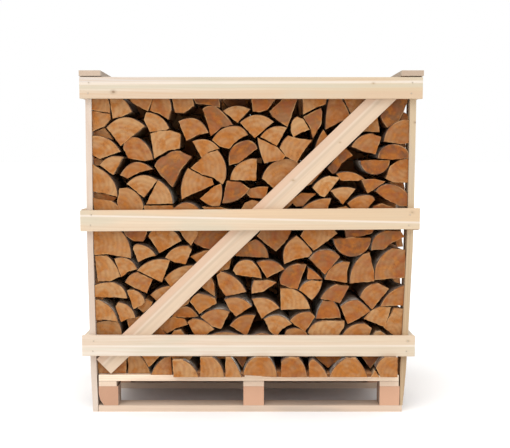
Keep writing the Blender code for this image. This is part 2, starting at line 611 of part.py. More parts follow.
def firewood(deck_top):
    floor = deck_top + GAP
    ends = outlines()
    log_row("front", ends, -ROW_FRONT, floor)
    log_row("middle", ends, -LOG_LENGTH / 2, floor, -1)
    log_row("back", ends, ROW_FRONT - LOG_LENGTH, floor)


def main():
    clear_scene()
    home = bpy.data.collections.new(NAME)
    bpy.context.scene.collection.children.link(home)
    rails()
    side_rails()
    posts()
    cap_boards()
    braces()
    deck_top = pallet()
    firewood(deck_top)
    print(f"deck top {deck_top:.4f}, {len(home.objects)} pieces")


main()
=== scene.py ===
# %% [markdown]
# # A crate of birch firewood
# A slatted crate of pale sawn spruce stands on a pallet base, and split birch logs fill it. The solids
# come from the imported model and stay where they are. This script gives them the look of sawn wood,
# and puts single logs with bark, split faces and sawn ends in place of the three fused rows.

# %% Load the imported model
import math
import random

import bpy
import numpy as np
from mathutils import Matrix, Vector


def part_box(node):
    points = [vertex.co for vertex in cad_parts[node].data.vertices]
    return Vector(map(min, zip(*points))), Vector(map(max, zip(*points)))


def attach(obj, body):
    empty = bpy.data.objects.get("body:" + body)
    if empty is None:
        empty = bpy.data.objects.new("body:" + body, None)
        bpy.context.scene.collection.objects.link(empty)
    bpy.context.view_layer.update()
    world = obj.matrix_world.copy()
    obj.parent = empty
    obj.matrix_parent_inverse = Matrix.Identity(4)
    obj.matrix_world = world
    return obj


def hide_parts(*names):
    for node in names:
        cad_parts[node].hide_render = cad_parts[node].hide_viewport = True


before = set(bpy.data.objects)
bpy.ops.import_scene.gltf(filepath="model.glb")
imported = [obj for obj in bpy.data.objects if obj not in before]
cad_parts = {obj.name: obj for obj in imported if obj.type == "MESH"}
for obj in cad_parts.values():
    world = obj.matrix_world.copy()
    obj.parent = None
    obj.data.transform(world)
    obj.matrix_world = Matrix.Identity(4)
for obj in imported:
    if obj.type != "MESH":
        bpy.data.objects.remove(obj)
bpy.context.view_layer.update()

BODY = "root"

# %% [markdown]
# ## Camera
# The photograph was taken from a person's eye height, straight in front, and its upright lines stay
# nearly parallel. A lens can be worked out from such a picture: the crate's far edges shrink with
# distance, which gives the camera's distance, and the height of the horizon gives its height. The
# picture was cut from a larger one, so its middle isn't the lens's middle, and a small shift says so.

# %% Camera
EYE = Vector((0.00275, -3.6367, 0.9208))
EYE_TILT = math.radians(6.311)
# The lens's reach, the picture's size and the lens's middle, all in steps of the picture
EYE_STEPS = 914.0
PHOTO_WIDE, PHOTO_HIGH = 510, 448
EYE_MIDDLE = (251.0, 259.1)
SENSOR = 36.0
scene = bpy.context.scene


def show(name, data):
    # An object with this data, put in the scene
    made = bpy.data.objects.new(name, data)
    scene.collection.objects.link(made)
    return made


camera = show("camera", bpy.data.cameras.new("camera"))
camera.location = EYE
camera.rotation_euler = (math.pi / 2 - EYE_TILT, 0.0, 0.0)
camera.data.sensor_width = SENSOR
camera.data.lens = EYE_STEPS * SENSOR / PHOTO_WIDE
camera.data.shift_x = (PHOTO_WIDE / 2 - EYE_MIDDLE[0]) / PHOTO_WIDE
camera.data.shift_y = (EYE_MIDDLE[1] - PHOTO_HIGH / 2) / PHOTO_WIDE
scene.camera = camera
print("lens", round(camera.data.lens, 2), "mm")

# %% [markdown]
# ## Short words for node trees
# A material is a tree of nodes and the links between them. Writing each link out takes many lines, so
# `fill` gives a node all its inputs in one go: a value is set, and a socket is linked. Each of the other
# helpers names one small job that the trees further down do again and again.

# %% Helpers that make nodes, materials and groups
def fill(tree, made, inputs):
    for key, value in inputs.items():
        if isinstance(value, bpy.types.NodeSocket):
            tree.links.new(value, made.inputs[key])
        else:
            made.inputs[key].default_value = value


def node(tree, kind, inputs=None, **settings):
    made = tree.nodes.new(kind)
    for name, value in settings.items():
        setattr(made, name, value)
    fill(tree, made, inputs or {})
    return made


def put(tree, kind, inputs=None, **settings):
    return node(tree, "ShaderNode" + kind, inputs, **settings)


def new_material(name):
    # A material, its node tree and its shader
    made = bpy.data.materials.new(name)
    made.use_nodes = True
    return made, made.node_tree, made.node_tree.nodes["Principled BSDF"]


def group(name, ins, outs, family="Shader"):
    # A node group with named inputs and outputs; returns it, its inputs and its output node
    tree = bpy.data.node_groups.new(name, family + "NodeTree")
    for socket, kind, value in ins:
        made = tree.interface.new_socket(name=socket, in_out="INPUT", socket_type="NodeSocket" + kind)
        if value is not None:
            made.default_value = value
    for socket, kind in outs:
        tree.interface.new_socket(name=socket, in_out="OUTPUT", socket_type="NodeSocket" + kind)
    given = tree.nodes.new("NodeGroupInput").outputs
    return tree, given, tree.nodes.new("NodeGroupOutput")


# %% Helpers for numbers and directions in a tree
def calc(tree, operation, a, b=0.0, c=0.0):
    return put(tree, "Math", {0: a, 1: b, 2: c}, operation=operation).outputs[0]


def times(tree, a, b):
    return calc(tree, "MULTIPLY", a, b)


def size_of(tree, a):
    return calc(tree, "ABSOLUTE", a)


def ease(tree, value, low, high, start=0.0, end=1.0):
    # From start to end, in a soft step, as value goes from low to high
    return put(tree, "MapRange", {0: value, 1: low, 2: high, 3: start, 4: end},
               interpolation_type="SMOOTHSTEP").outputs[0]


def wave(tree, turns):
    # From 0 to 1 and back, once in each turn
    return calc(tree, "MULTIPLY_ADD", calc(tree, "SINE", times(tree, turns, math.tau)), 0.5, 0.5)


def xyz(tree, whole):
    return put(tree, "SeparateXYZ", {0: whole}).outputs


def vector(tree, x=0.0, y=0.0, z=0.0):
    return put(tree, "CombineXYZ", {0: x, 1: y, 2: z}).outputs[0]


def vector_calc(tree, operation, a, b):
    return put(tree, "VectorMath", {0: a, 1: b}, operation=operation).outputs[0]


def length(tree, a):
    return put(tree, "VectorMath", {0: a}, operation="LENGTH").outputs["Value"]


# %% Helpers for patterns and colours in a tree
def colour(r, g, b):
    return (r, g, b, 1.0)


def cloud(tree, spot, size, detail=3.0, rough=0.55):
    # Soft noise from 0 to 1, about size across
    return put(tree, "TexNoise", {"Vector": spot, "Scale": 1.0 / size, "Detail": detail,
                                  "Roughness": rough}).outputs["Fac"]


def streaks(tree, spot, close, detail=2.0, rough=0.55):
    # Noise drawn out into streaks: close says how often it changes in a metre, along each direction
    return cloud(tree, vector_calc(tree, "MULTIPLY", spot, close), 1.0, detail, rough)


def blend(tree, share, a, b):
    return put(tree, "Mix", {0: share, 6: a, 7: b}, data_type="RGBA", clamp_factor=True).outputs[2]


def layered(tree, tone, *layers):
    # Tints laid over one another, each by its own mask
    for mask, tint in layers:
        tone = blend(tree, mask, tone, tint)
    return tone


print("helpers for", ", ".join(made.__name__ for made in (node, group, calc, ease, cloud, layered)))

# %% [markdown]
# ## Floor and light
# A catalogue picture has a white floor and white surroundings, so nearly all the light is soft and
# comes from everywhere, and the gaps between logs are dark only because little of it gets in. A very
# soft sun, high in front, keeps the floor white close to the crate and leaves the faint shadow under
# each rail. The floor reaches so far that its far edge melts into the white behind it.

# %% Floor, sky and sun
FLOOR_HALF = 150.0
FLOOR_TONE, FLOOR_ROUGHNESS = 0.93, 0.9
SKY_LIGHT = 1.0
SUN_LIGHT = 1.55
SUN_WIDTH = math.radians(50.0)
SUN_FROM = Vector((-0.22, -0.85, 1.45))
SUN_AWAY = 4.0

scene.view_settings.view_transform = "Standard"
sky = bpy.data.worlds.new("studio")
scene.world = sky
sky.use_nodes = True
background = sky.node_tree.nodes["Background"]
fill(sky.node_tree, background, {"Color": colour(1.0, 1.0, 1.0), "Strength": SKY_LIGHT})

floor_mesh = bpy.data.meshes.new("floor")
corners = [(x * FLOOR_HALF, y * FLOOR_HALF, 0.0) for x, y in ((-1, -1), (1, -1), (1, 1), (-1, 1))]
floor_mesh.from_pydata(corners, [], [(0, 1, 2, 3)])
floor = show("floor", floor_mesh)
floor_paint, tree, shader = new_material("floor")
fill(tree, shader, {"Base Color": colour(FLOOR_TONE, FLOOR_TONE, FLOOR_TONE),
                    "Roughness": FLOOR_ROUGHNESS})
floor_mesh.materials.append(floor_paint)

sun = show("sun", bpy.data.lights.new("sun", "SUN"))
sun.data.energy = SUN_LIGHT
sun.data.angle = SUN_WIDTH
sun.location = SUN_FROM * SUN_AWAY
sun.rotation_euler = SUN_FROM.to_track_quat("Z", "Y").to_euler()
print("floor", 2 * FLOOR_HALF, "m wide")

# %% [markdown]
# ## Sawn spruce
# A sawn face shows the tree's rings cut lengthways: soft stripes that run along the board, a centimetre
# or so apart, over much finer fibres, with pinkish and greenish patches where the wood took up stain.
# Stretching noise along the board gives all three at once. The board's own direction is turned into
# the first coordinate before the group, so one group serves boards that lie any way. One pale streak
# with a stained trough beside it follows the board too, at a level that the board names.

# %% Shader group: sawn grain
tree, given, end = group(
    "sawn_grain",
    [("Vector", "Vector", None), ("Seed", "Float", 0.0), ("Ring Width", "Float", 0.011),
     ("Pale", "Color", colour(0.9, 0.8, 0.6)), ("Dark", "Color", colour(0.7, 0.5, 0.3)),
     ("Stain", "Color", colour(0.6, 0.5, 0.4)), ("Contrast", "Float", 0.5),
     ("Upper", "Color", colour(0.9, 0.8, 0.6)), ("Streak", "Color", colour(0.9, 0.8, 0.7)),
     ("Level", "Float", -9.0), ("Slope", "Float", 0.0), ("Streak Share", "Float", 0.8),
     ("Streak Width", "Float", 1.0),
     ("Trough", "Float", 0.0), ("Skirt", "Float", 0.0), ("Tail", "Color", colour(0.9, 0.8, 0.6)),
     ("Tail Share", "Float", 0.0), ("Tail From", "Float", -0.6), ("Tail To", "Float", 0.6)],
    [("Color", "Color"), ("Height", "Float"), ("Roughness", "Float")])
SEED_SHIFTS = (3.17, 1.31, 2.23)
shift = vector(tree, *(times(tree, given["Seed"], k) for k in SEED_SHIFTS))
spot = vector_calc(tree, "ADD", given["Vector"], shift)
sway = streaks(tree, spot, (0.8, 9.0, 9.0))
wide = streaks(tree, spot, (0.5, 42.0, 42.0))
fibre = streaks(tree, spot, (7.0, 420.0, 420.0), 3.0, 0.7)
patch = streaks(tree, spot, (2.6, 13.0, 13.0))
teeth = streaks(tree, spot, (210.0, 9.0, 9.0), 1.0)
moved = xyz(tree, spot)
across = calc(tree, "MULTIPLY_ADD", moved[1], 0.7, moved[2])
phase = calc(tree, "MULTIPLY_ADD", sway, 7.0, calc(tree, "DIVIDE", across, given["Ring Width"]))
stripe = calc(tree, "POWER", wave(tree, phase), 2.2)
share = calc(tree, "MULTIPLY_ADD", stripe, 0.55, ease(tree, wide, 0.4, 0.75, 0.0, 0.75))
share = times(tree, share, given["Contrast"])
own = xyz(tree, given["Vector"])
level = calc(tree, "MULTIPLY_ADD", own[0], given["Slope"], given["Level"])
level = calc(tree, "MULTIPLY_ADD", calc(tree, "SUBTRACT", sway, 0.5), 0.006, level)
above = calc(tree, "SUBTRACT", own[2], level)
fold = calc(tree, "DIVIDE", above, given["Streak Width"])
tail = times(tree, ease(tree, own[0], given["Tail From"], given["Tail To"]), given["Tail Share"])
skirt = times(tree, ease(tree, above, -0.024, -0.036), given["Skirt"])
trough = ease(tree, size_of(tree, calc(tree, "ADD", fold, 0.0095)), 0.0015, 0.0075, 1.0, 0.0)
milky = times(tree, ease(tree, size_of(tree, fold), 0.0010, 0.0055, 1.0, 0.0), given["Streak Share"])
tone = layered(tree, given["Pale"],
               (ease(tree, above, -0.002, 0.004), given["Upper"]),
               (tail, given["Tail"]),
               (skirt, given["Dark"]),
               (share, given["Dark"]),
               (times(tree, trough, given["Trough"]), given["Stain"]),
               (ease(tree, patch, 0.46, 0.72, 0.0, 0.65), given["Stain"]),
               (times(tree, milky, ease(tree, patch, 0.25, 0.55, 0.55, 1.0)), given["Streak"]),
               (ease(tree, fibre, 0.35, 0.8, 0.0, 0.28), given["Dark"]))
fill(tree, end, {"Color": tone, "Roughness": ease(tree, fibre, 0.2, 0.8, 0.55, 0.8),
                 "Height": calc(tree, "MULTIPLY_ADD", fibre, 0.6, times(tree, teeth, 0.4))})
SAWN_GRAIN = tree
print("group", tree.name, len(tree.nodes), "nodes")

# %% [markdown]
# ## Sawn ends and knots
# Across its end a board shows the rings as arcs about a middle that is often outside it, rougher and
# darker than its faces, because cut pores soak up dirt. A knot is the foot of a branch: a small dark
# round with a halo, around which the colour deepens.

# %% Shader groups: board ends and knots
tree, given, end = group(
    "board_end",
    [("Vector", "Vector", None), ("Middle", "Vector", (0.0, 0.0, 0.0)), ("Ring Width", "Float", 0.004),
     ("Pale", "Color", colour(0.7, 0.5, 0.3)), ("Dark", "Color", colour(0.5, 0.3, 0.2))],
    [("Color", "Color"), ("Height", "Float")])
away = vector_calc(tree, "SUBTRACT", given["Vector"], given["Middle"])
far = length(tree, vector_calc(tree, "MULTIPLY", away, (0.15, 1.0, 1.0)))
wobble = cloud(tree, given["Vector"], 0.018, 3.0)
ring = wave(tree, calc(tree, "MULTIPLY_ADD", wobble, 1.1, calc(tree, "DIVIDE", far, given["Ring Width"])))
grit = cloud(tree, given["Vector"], 0.0016, 2.0)
tone = layered(tree, given["Pale"],
               (times(tree, ring, 0.42), given["Dark"]),
               (ease(tree, grit, 0.45, 0.75, 0.0, 0.35), given["Dark"]))
fill(tree, end, {"Color": tone, "Height": calc(tree, "MULTIPLY_ADD", ring, 0.4, grit)})
BOARD_END = tree

tree, given, end = group(
    "knot",
    [("Vector", "Vector", None), ("Middle", "Vector", (0.0, 0.0, 0.0)), ("Radius", "Float", 0.004),
     ("Wood", "Color", colour(0.8, 0.7, 0.5)), ("Heart", "Color", colour(0.25, 0.14, 0.07))],
    [("Color", "Color")])
away = vector_calc(tree, "SUBTRACT", given["Vector"], given["Middle"])
far = length(tree, vector_calc(tree, "MULTIPLY", away, (0.7, 1.0, 1.0)))
far = calc(tree, "SUBTRACT", calc(tree, "DIVIDE", far, given["Radius"]), 0.35)
far = calc(tree, "MULTIPLY_ADD", cloud(tree, given["Vector"], 0.006, 2.0), 0.7, far)
tone = layered(tree, given["Wood"],
               (ease(tree, far, 0.8, 2.8, 0.34, 0.0), given["Heart"]),
               (ease(tree, far, 0.45, 1.05, 0.85, 0.0), given["Heart"]))
fill(tree, end, {"Color": tone})
KNOT = tree
print("groups", BOARD_END.name, KNOT.name)

# %% [markdown]
# ## Materials for the boards
# Each kind of board gets its own material from the same groups: cream rails with pinkish and greenish
# stripes, posts and braces a little pinker, cap boards greyed by weather, and blocks of a redder
# wood whose sawn ends face the front. Inside the pallet the stringers and the blocks' other faces are
# painted darker, and the deck's undersides darker still, as painted shade. The grain's way is worked
# out from the board's place, and a face that looks along the grain gets the end pattern instead.

# %% One material from the groups
CUT_PALE, CUT_DARK = colour(0.520, 0.385, 0.270), colour(0.330, 0.220, 0.140)
CREAM, MILK = colour(0.655, 0.562, 0.448), colour(0.720, 0.640, 0.555)
PEACH, HONEY = colour(0.575, 0.415, 0.280), colour(0.565, 0.435, 0.275)
BLUSH, MOSS = colour(0.600, 0.445, 0.335), colour(0.535, 0.495, 0.385)
ASH, GREIGE = colour(0.430, 0.360, 0.300), colour(0.612, 0.550, 0.495)
END_ON = (0.90, 0.97)
NO_STREAK = (-9.0, 0.0)


def grain_way(tree, along, turn):
    # Object coordinates with the board's length first, and how squarely the face looks along it
    coordinates = put(tree, "TexCoord").outputs
    spot, facing = coordinates["Object"], coordinates["Normal"]
    laid = spot
    if turn:
        laid, facing = (put(tree, "VectorRotate", {"Vector": v, "Axis": (0.0, 1.0, 0.0), "Angle": turn},
                            rotation_type="AXIS_ANGLE").outputs[0] for v in (spot, facing))
    order = {"x": (0, 1, 2), "y": (1, 0, 2), "z": (2, 1, 0)}[along]
    parts = xyz(tree, laid)
    way = vector(tree, *(parts[k] for k in order))
    return spot, way, size_of(tree, xyz(tree, facing)[order[0]])


def board_material(name, along, pale, dark, stain, seed, contrast, ring=0.011, turn=0.0,
                   middle=(0.0, 0.0, 0.0), cut=(CUT_PALE, CUT_DARK), knots=(), streak=NO_STREAK,
                   upper=None, under=None, tail=(0.0, -0.6, 0.6), tail_tone=HONEY,
                   bands=(0.8, 0.0, 0.0), wide=1.0):
    # streak: height and slope of the pale streak; bands: how strong it, its trough and the foot are;
    # tail: how much, and from where to where along the board, the wood turns to tail_tone
    made, tree, shader = new_material(name)
    spot, way, end_on = grain_way(tree, along, turn)
    face = put(tree, "Group", {
        "Vector": way, "Seed": seed, "Ring Width": ring, "Pale": pale, "Dark": dark, "Stain": stain,
        "Contrast": contrast, "Upper": upper or pale, "Streak": MILK, "Level": streak[0],
        "Slope": streak[1], "Streak Share": bands[0], "Streak Width": wide, "Trough": bands[1],
        "Skirt": bands[2], "Tail": tail_tone, "Tail Share": tail[0], "Tail From": tail[1],
        "Tail To": tail[2]}, node_tree=SAWN_GRAIN)
    wood = face.outputs["Color"]
    for place, radius, heart in knots:
        wood = put(tree, "Group", {"Vector": spot, "Middle": place, "Radius": radius, "Wood": wood,
                                   "Heart": heart}, node_tree=KNOT).outputs[0]
    # Faces that look down are blended toward the under colour: painted shade under the deck
    if under:
        down = xyz(tree, put(tree, "TexCoord").outputs["Normal"])[2]
        wood = blend(tree, ease(tree, down, -0.6, -0.2, 1.0, 0.0), wood, under)
    tip = put(tree, "Group", {"Vector": way, "Middle": middle, "Pale": cut[0], "Dark": cut[1]},
              node_tree=BOARD_END)
    share = ease(tree, end_on, *END_ON)
    lift = put(tree, "Mix", {0: share, 2: face.outputs["Height"], 3: tip.outputs["Height"]},
               data_type="FLOAT").outputs[0]
    bump = put(tree, "Bump", {"Height": lift, "Strength": 0.5, "Distance": 0.0006}).outputs[0]
    fill(tree, shader, {"Base Color": blend(tree, share, wood, tip.outputs["Color"]), "Normal": bump,
                        "Roughness": face.outputs["Roughness"], "Specular IOR Level": 0.3})
    return made


print("a face shows the end pattern where it looks along the board by", END_ON)

# %% Materials of sawn boards
BRACE_FOOT, BRACE_HEAD = (-0.5350, 0.1673), (0.4980, 1.1650)
BRACE_RISE = math.atan2(BRACE_HEAD[1] - BRACE_FOOT[1], BRACE_HEAD[0] - BRACE_FOOT[0])
DIM_KNOT, PALE_KNOT = colour(0.26, 0.17, 0.10), colour(0.42, 0.30, 0.19)
# Painted shade for the deck's undersides
SHADE = colour(0.220, 0.095, 0.055)
# The front faces of the rails, and of the posts and the brace behind them
FRONT, BEHIND_RAILS = -0.400, -0.3797
boards = {
    "top_rail": board_material(
        "top_rail_spruce", "x", CREAM, PEACH, MOSS, 1.0, 0.85, middle=(0.0, 0.02, 1.21),
        tail=(0.85, -0.5, 0.6), upper=GREIGE, streak=(1.1825, 0.004), bands=(0.85, 0.65, 0.6), wide=1.35,
        knots=[((-0.4781, FRONT, 1.1503), 0.0046, DIM_KNOT), ((0.4300, FRONT, 1.1800), 0.0030, PALE_KNOT)]),
    "middle_rail": board_material(
        "middle_rail_spruce", "x", colour(0.670, 0.540, 0.400), PEACH, MOSS, 4.6, 0.60,
        middle=(0.0, 0.01, 0.66), tail=(0.55, -0.3, 0.6), upper=colour(0.665, 0.480, 0.315),
        streak=(0.7060, -0.020), bands=(0.9, 0.2, 0.2),
        knots=[((0.5738, FRONT, 0.7296), 0.0034, PALE_KNOT)]),
    "bottom_rail": board_material(
        "bottom_rail_spruce", "x", colour(0.700, 0.622, 0.530), PEACH, MOSS, 7.3, 0.50,
        middle=(0.0, 0.0, 0.30), tail=(0.5, -0.4, 0.6), upper=colour(0.685, 0.570, 0.465),
        streak=(0.2480, 0.002), bands=(0.8, 0.3, 0.2),
        knots=[((0.5677, FRONT, 0.2663), 0.0032, PALE_KNOT)]),
    "side_rail": board_material("side_rail_spruce", "y", CREAM, PEACH, MOSS, 2.1, 0.95),
    "post": board_material("post_spruce", "z", colour(0.580, 0.468, 0.392), BLUSH, MILK, 3.4, 0.75,
                           tail=(0.7, 1.0, 0.2), tail_tone=colour(0.505, 0.425, 0.360)),
    "right_post": board_material("right_post_spruce", "z", colour(0.500, 0.382, 0.255), HONEY, ASH, 5.1,
                                 0.60, knots=[((0.5829, BEHIND_RAILS, 1.0457), 0.0032, DIM_KNOT)],
                                 tail=(0.90, 1.0, 0.4), tail_tone=colour(0.405, 0.272, 0.155)),
    "brace": board_material("brace_spruce", "x", colour(0.665, 0.522, 0.380), colour(0.56, 0.41, 0.290),
                            colour(0.50, 0.385, 0.285), 5.5, 0.60, ring=0.030, turn=BRACE_RISE,
                            streak=(0.4995, 0.0), upper=colour(0.622, 0.425, 0.302),
                            bands=(0.32, 0.60, 0.0),
                            knots=[((0.3174, BEHIND_RAILS, 0.9757), 0.0026, PALE_KNOT),
                                   ((0.1530, BEHIND_RAILS, 0.8421), 0.0040, PALE_KNOT)]),
    "back_brace": board_material("back_brace_spruce", "x", colour(0.640, 0.510, 0.380),
                                 colour(0.55, 0.41, 0.290), colour(0.50, 0.385, 0.285), 8.1, 0.60,
                                 ring=0.030, turn=-BRACE_RISE, streak=(0.4780, 0.0),
                                 upper=colour(0.622, 0.450, 0.330), bands=(0.32, 0.45, 0.0)),
    "cap": board_material("cap_spruce", "y", colour(0.56, 0.47, 0.37), colour(0.40, 0.31, 0.23), ASH, 6.2,
                          0.7, middle=(0.0, 0.0, 1.18), cut=(colour(0.57, 0.45, 0.35), CUT_DARK)),
    "right_cap": board_material("right_cap_spruce", "y", colour(0.52, 0.43, 0.33),
                                colour(0.38, 0.29, 0.21), ASH, 6.9, 0.7, middle=(0.0, 0.0, 1.18),
                                cut=(colour(0.48, 0.375, 0.285), CUT_DARK)),
    "deck": board_material("deck_spruce", "x", colour(0.95, 0.79, 0.62), PEACH, BLUSH, 8.8, 0.40,
                           under=SHADE),
    "base": board_material("base_spruce", "x", colour(0.65, 0.51, 0.395), BLUSH, ASH, 9.7, 0.55),
    # The stringer's faces are painted dark, as painted shade inside the pallet; its sawn ends stay pale
    "stringer": board_material("stringer_spruce", "y", colour(0.40, 0.29, 0.21), ASH, ASH, 10.4, 0.6,
                               cut=(colour(0.74, 0.58, 0.45), colour(0.55, 0.40, 0.28))),
    # The blocks' faces other than their sawn ends are painted darker, as painted shade in the pallet's
    # tunnels
    "left_block": board_material("left_block_wood", "y", colour(0.36, 0.22, 0.15), ASH, ASH, 13.2, 0.7,
                                 middle=(0.0, -0.10, 0.12),
                                 cut=(colour(0.505, 0.290, 0.187), colour(0.40, 0.215, 0.135))),
    "block": board_material("block_wood", "y", colour(0.36, 0.22, 0.15), colour(0.26, 0.15, 0.10), ASH,
                            11.9, 0.7, middle=(0.0, -0.10, 0.12),
                            cut=(colour(0.615, 0.360, 0.235), colour(0.49, 0.270, 0.170))),
}
print(len(boards), "board materials")

# %% Give each board its wood
ONE_OFF = {"front_right_post": "right_post", "front_left_block": "left_block",
           "right_cap_board": "right_cap", "back_brace": "back_brace"}


def wood_for(name):
    words = name.split("_")
    if name in ONE_OFF:
        return boards[ONE_OFF[name]]
    if "side_rail" in name:
        return boards["side_rail"]
    for key in ("cap", "deck", "base", "stringer", "block", "post", "brace"):
        if key in words:
            return boards[key]
    return boards[f"{words[0]}_rail"]


dressed = [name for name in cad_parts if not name.startswith("firewood")]
for name in dressed:
    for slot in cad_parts[name].material_slots:
        slot.material = wood_for(name)
print("boards dressed", len(dressed))

# %% [markdown]
# ## The log ends
# A row of firewood is a wall of cut ends, each a wedge or half of a round trunk, and the dark gaps
# between them are what the eye reads. Random shapes can't give that look, so every end is an outline
# read from the front: its corners, across and down, with a third number where the edge after a
# corner bulges. An edge that bulges is the tree's outside, under bark, and a straight one was split.
# The letter before each line says how the wood looks: light, pale, yellow, orange, amber, red, dark,
# tan, k for pink, grey, and b for dark brown pieces that are set at the foot of the gaps as painted shade.

# %% Outlines of the log ends
UPPER = """
o: 92.8 91, 105 92 1.5, 110 113, 92.8 109.8
o: 92.8 111, 110 114, 110.5 119, 104 126.5, 92.8 131.5
l: 108.5 92, 116 95 2.5, 131.6 111.8, 121 116.8, 113 118.5, 111.3 109
o: 127 91, 153 91, 152.5 99, 148 110.8, 142 108.5, 131 101.5
a: 154.5 92, 165 93 2, 171 110, 168.3 119.5, 160 114, 150 110.5
l: 107 127.5 9, 144.5 126, 120.7 145.8
l: 146.5 112.5 4, 168.8 128, 166 130, 150 132, 144.2 120
l: 150.5 133.8, 158 131.5, 170 130.5, 180.5 134, 179.5 148.5, 168 150.5, 154.5 158.5
l: 93.3 136 5, 120.3 151.5, 112 154.5, 100 159, 93.8 155
a: 123.3 148 5, 138 138 3, 152.8 159, 145 161, 128 158
l: 100 165 4, 122.8 157.2, 113.3 174.8
a: 120.8 175 9.5, 152.5 169, 140 172, 127.5 178.5
l: 93.5 164, 99 168.5 5, 117.3 196.5, 105 193.5, 93.2 191.5
o: 93.8 197.8, 112 201.5 1.5, 121 212, 117 220, 96 220
l: 127.3 183.8 6.5, 157.3 180.2, 144 197.3
o: 119.6 188.5, 127 188 4, 143.3 207, 141 215, 122 215, 117.3 203
l: 157.8 180.3 4, 172.5 203.5, 146 204.3
r: 155 166 2, 166 156 2, 180 151.3, 191.5 156.5, 180.5 170, 172.5 187, 160 174
o: 170.5 92, 188 93 1.5, 193.8 105.5, 184 112.8, 175 112.5
a: 179 121.5 8, 208 132.5, 199 134.5, 186.3 140.5
d: 190 91, 219 91, 219.5 107.5, 212 105.5, 196 103.5
r: 203 109 1, 211.5 106 1, 218 108.5 1, 232.5 124.8, 221 127.5, 211 136
l: 223.3 111 4, 249.5 109.3, 237.5 122.8
l: 240.3 122.7 7, 273.3 121.8, 254.5 138
o: 212.5 140 5, 239 126.5 1, 247.5 134.5, 238 139.5, 229 148.7, 220 146.5
l: 192.8 141.5 5, 219 148.5, 210 151.5, 202 157.8
o: 191 168, 207 153.5, 217.5 150.3 3.5, 225.5 178, 222.8 184.2, 213 177.3, 202 174.5
o: 188 168.5, 203 176.3, 212 178.8, 213.8 184.3, 198 191.5, 182 199 3
o: 200 198.7, 214 186.5, 221 183.8 1.5, 219.5 205.5 1.5, 206 203
r: 226.8 181, 240 182, 249.3 188.7 4, 222.5 203
l: 230.5 179.7 4, 246 160.5 1, 256.8 159.3, 256 180.5
d: 229.5 165 8, 248 140.5 2, 257 148.5, 248 155.5, 239 162.5
a: 173 209.5 7, 200 210, 194 221, 179 221
o: 239 212, 245 203, 252 200.3, 262 202.5, 262 214, 246 219
a: 250 189, 258 187, 268.3 187, 265 199, 250 197.5, 246 193
r: 250.5 92, 276 92, 274 101, 267 110, 260 112, 253 111.5
r: 269.5 111.3, 279 103, 288 93, 299.5 93, 293.5 110, 287.3 126.7, 273 117
l: 260.8 136.8 5, 286.8 127.8, 276.5 145.8
o: 257.8 138, 277 147.3, 285.3 156, 283 159, 264.5 163 1
o: 280 148 1, 288 136, 297 138.3, 312 140, 305 149, 297 162, 286 156.5
y: 291.5 124 1, 297 116.8, 303 119, 309.5 129.5, 300 133, 293.5 137, 291 131
o: 302.5 92, 327 92, 325.5 104, 316 107.5, 303.5 114.3
r: 303.5 117, 320.5 108, 322 112, 321 124, 313 138, 309.8 127
o: 315 150 1, 323.5 130, 329 137, 331 148, 322 156
a: 331 93, 338.5 95 1.5, 350.5 117.5, 340 122, 326 129 1.5
k: 341 92, 370 91, 370 105, 352 115
o: 262.3 178.5 5, 285 159 1, 298.5 163, 296 178, 275.5 190
o: 270 206, 282 194, 296 190, 292 204, 284 212
o: 304 168, 322 158, 324 170, 312 184, 300 188
a: 290 201, 302 193, 316.5 193.5, 309 200, 303 206.5, 296 206.5
o: 302.5 208.5 3, 330.5 198.5, 327 210, 322 217, 308 216
p: 312.8 187.3 2, 329 176, 339.8 177.5, 333 186.5, 324.5 197, 320 195.5
d: 328 168, 345 147, 353 155.5, 342 163, 337 172, 333 174
o: 336.8 174 4, 364 178.8, 358 180.8, 341 180.3
a: 351.8 146.3 3.5, 372 133.8, 381 137, 375.3 154.3, 362 151
g: 356 131, 378 117, 380 131.8
d: 381 115, 397 96, 407.5 94, 406.5 101, 402.5 112, 399.5 120.5, 388 127.5, 383 121
a: 384 141.3 5, 402 119.9, 408 119.9, 407.5 143, 400 144
d: 378 158 13, 407.5 157.4, 400 159.2, 390 159.4
d: 360.8 161, 375 160, 389.5 160.3 13.5
a: 390.5 166, 400 160, 408 158.2, 407.3 182.6, 393 182, 385.8 178.5
r: 361.3 179.8, 375 179, 384.8 181.5, 373 190, 367.5 193
r: 375.8 191.3 13.5, 407.5 206.5, 400 206, 386 199.3
l: 330.8 190.8 2.5, 355 189, 343 204.3
o: 347.8 203.5 3, 370 195.5 1, 374.3 199.8, 366.5 209.5, 354 212
r: 371 212, 374 206, 382 203.5, 397 209, 396 218, 375 219
"""
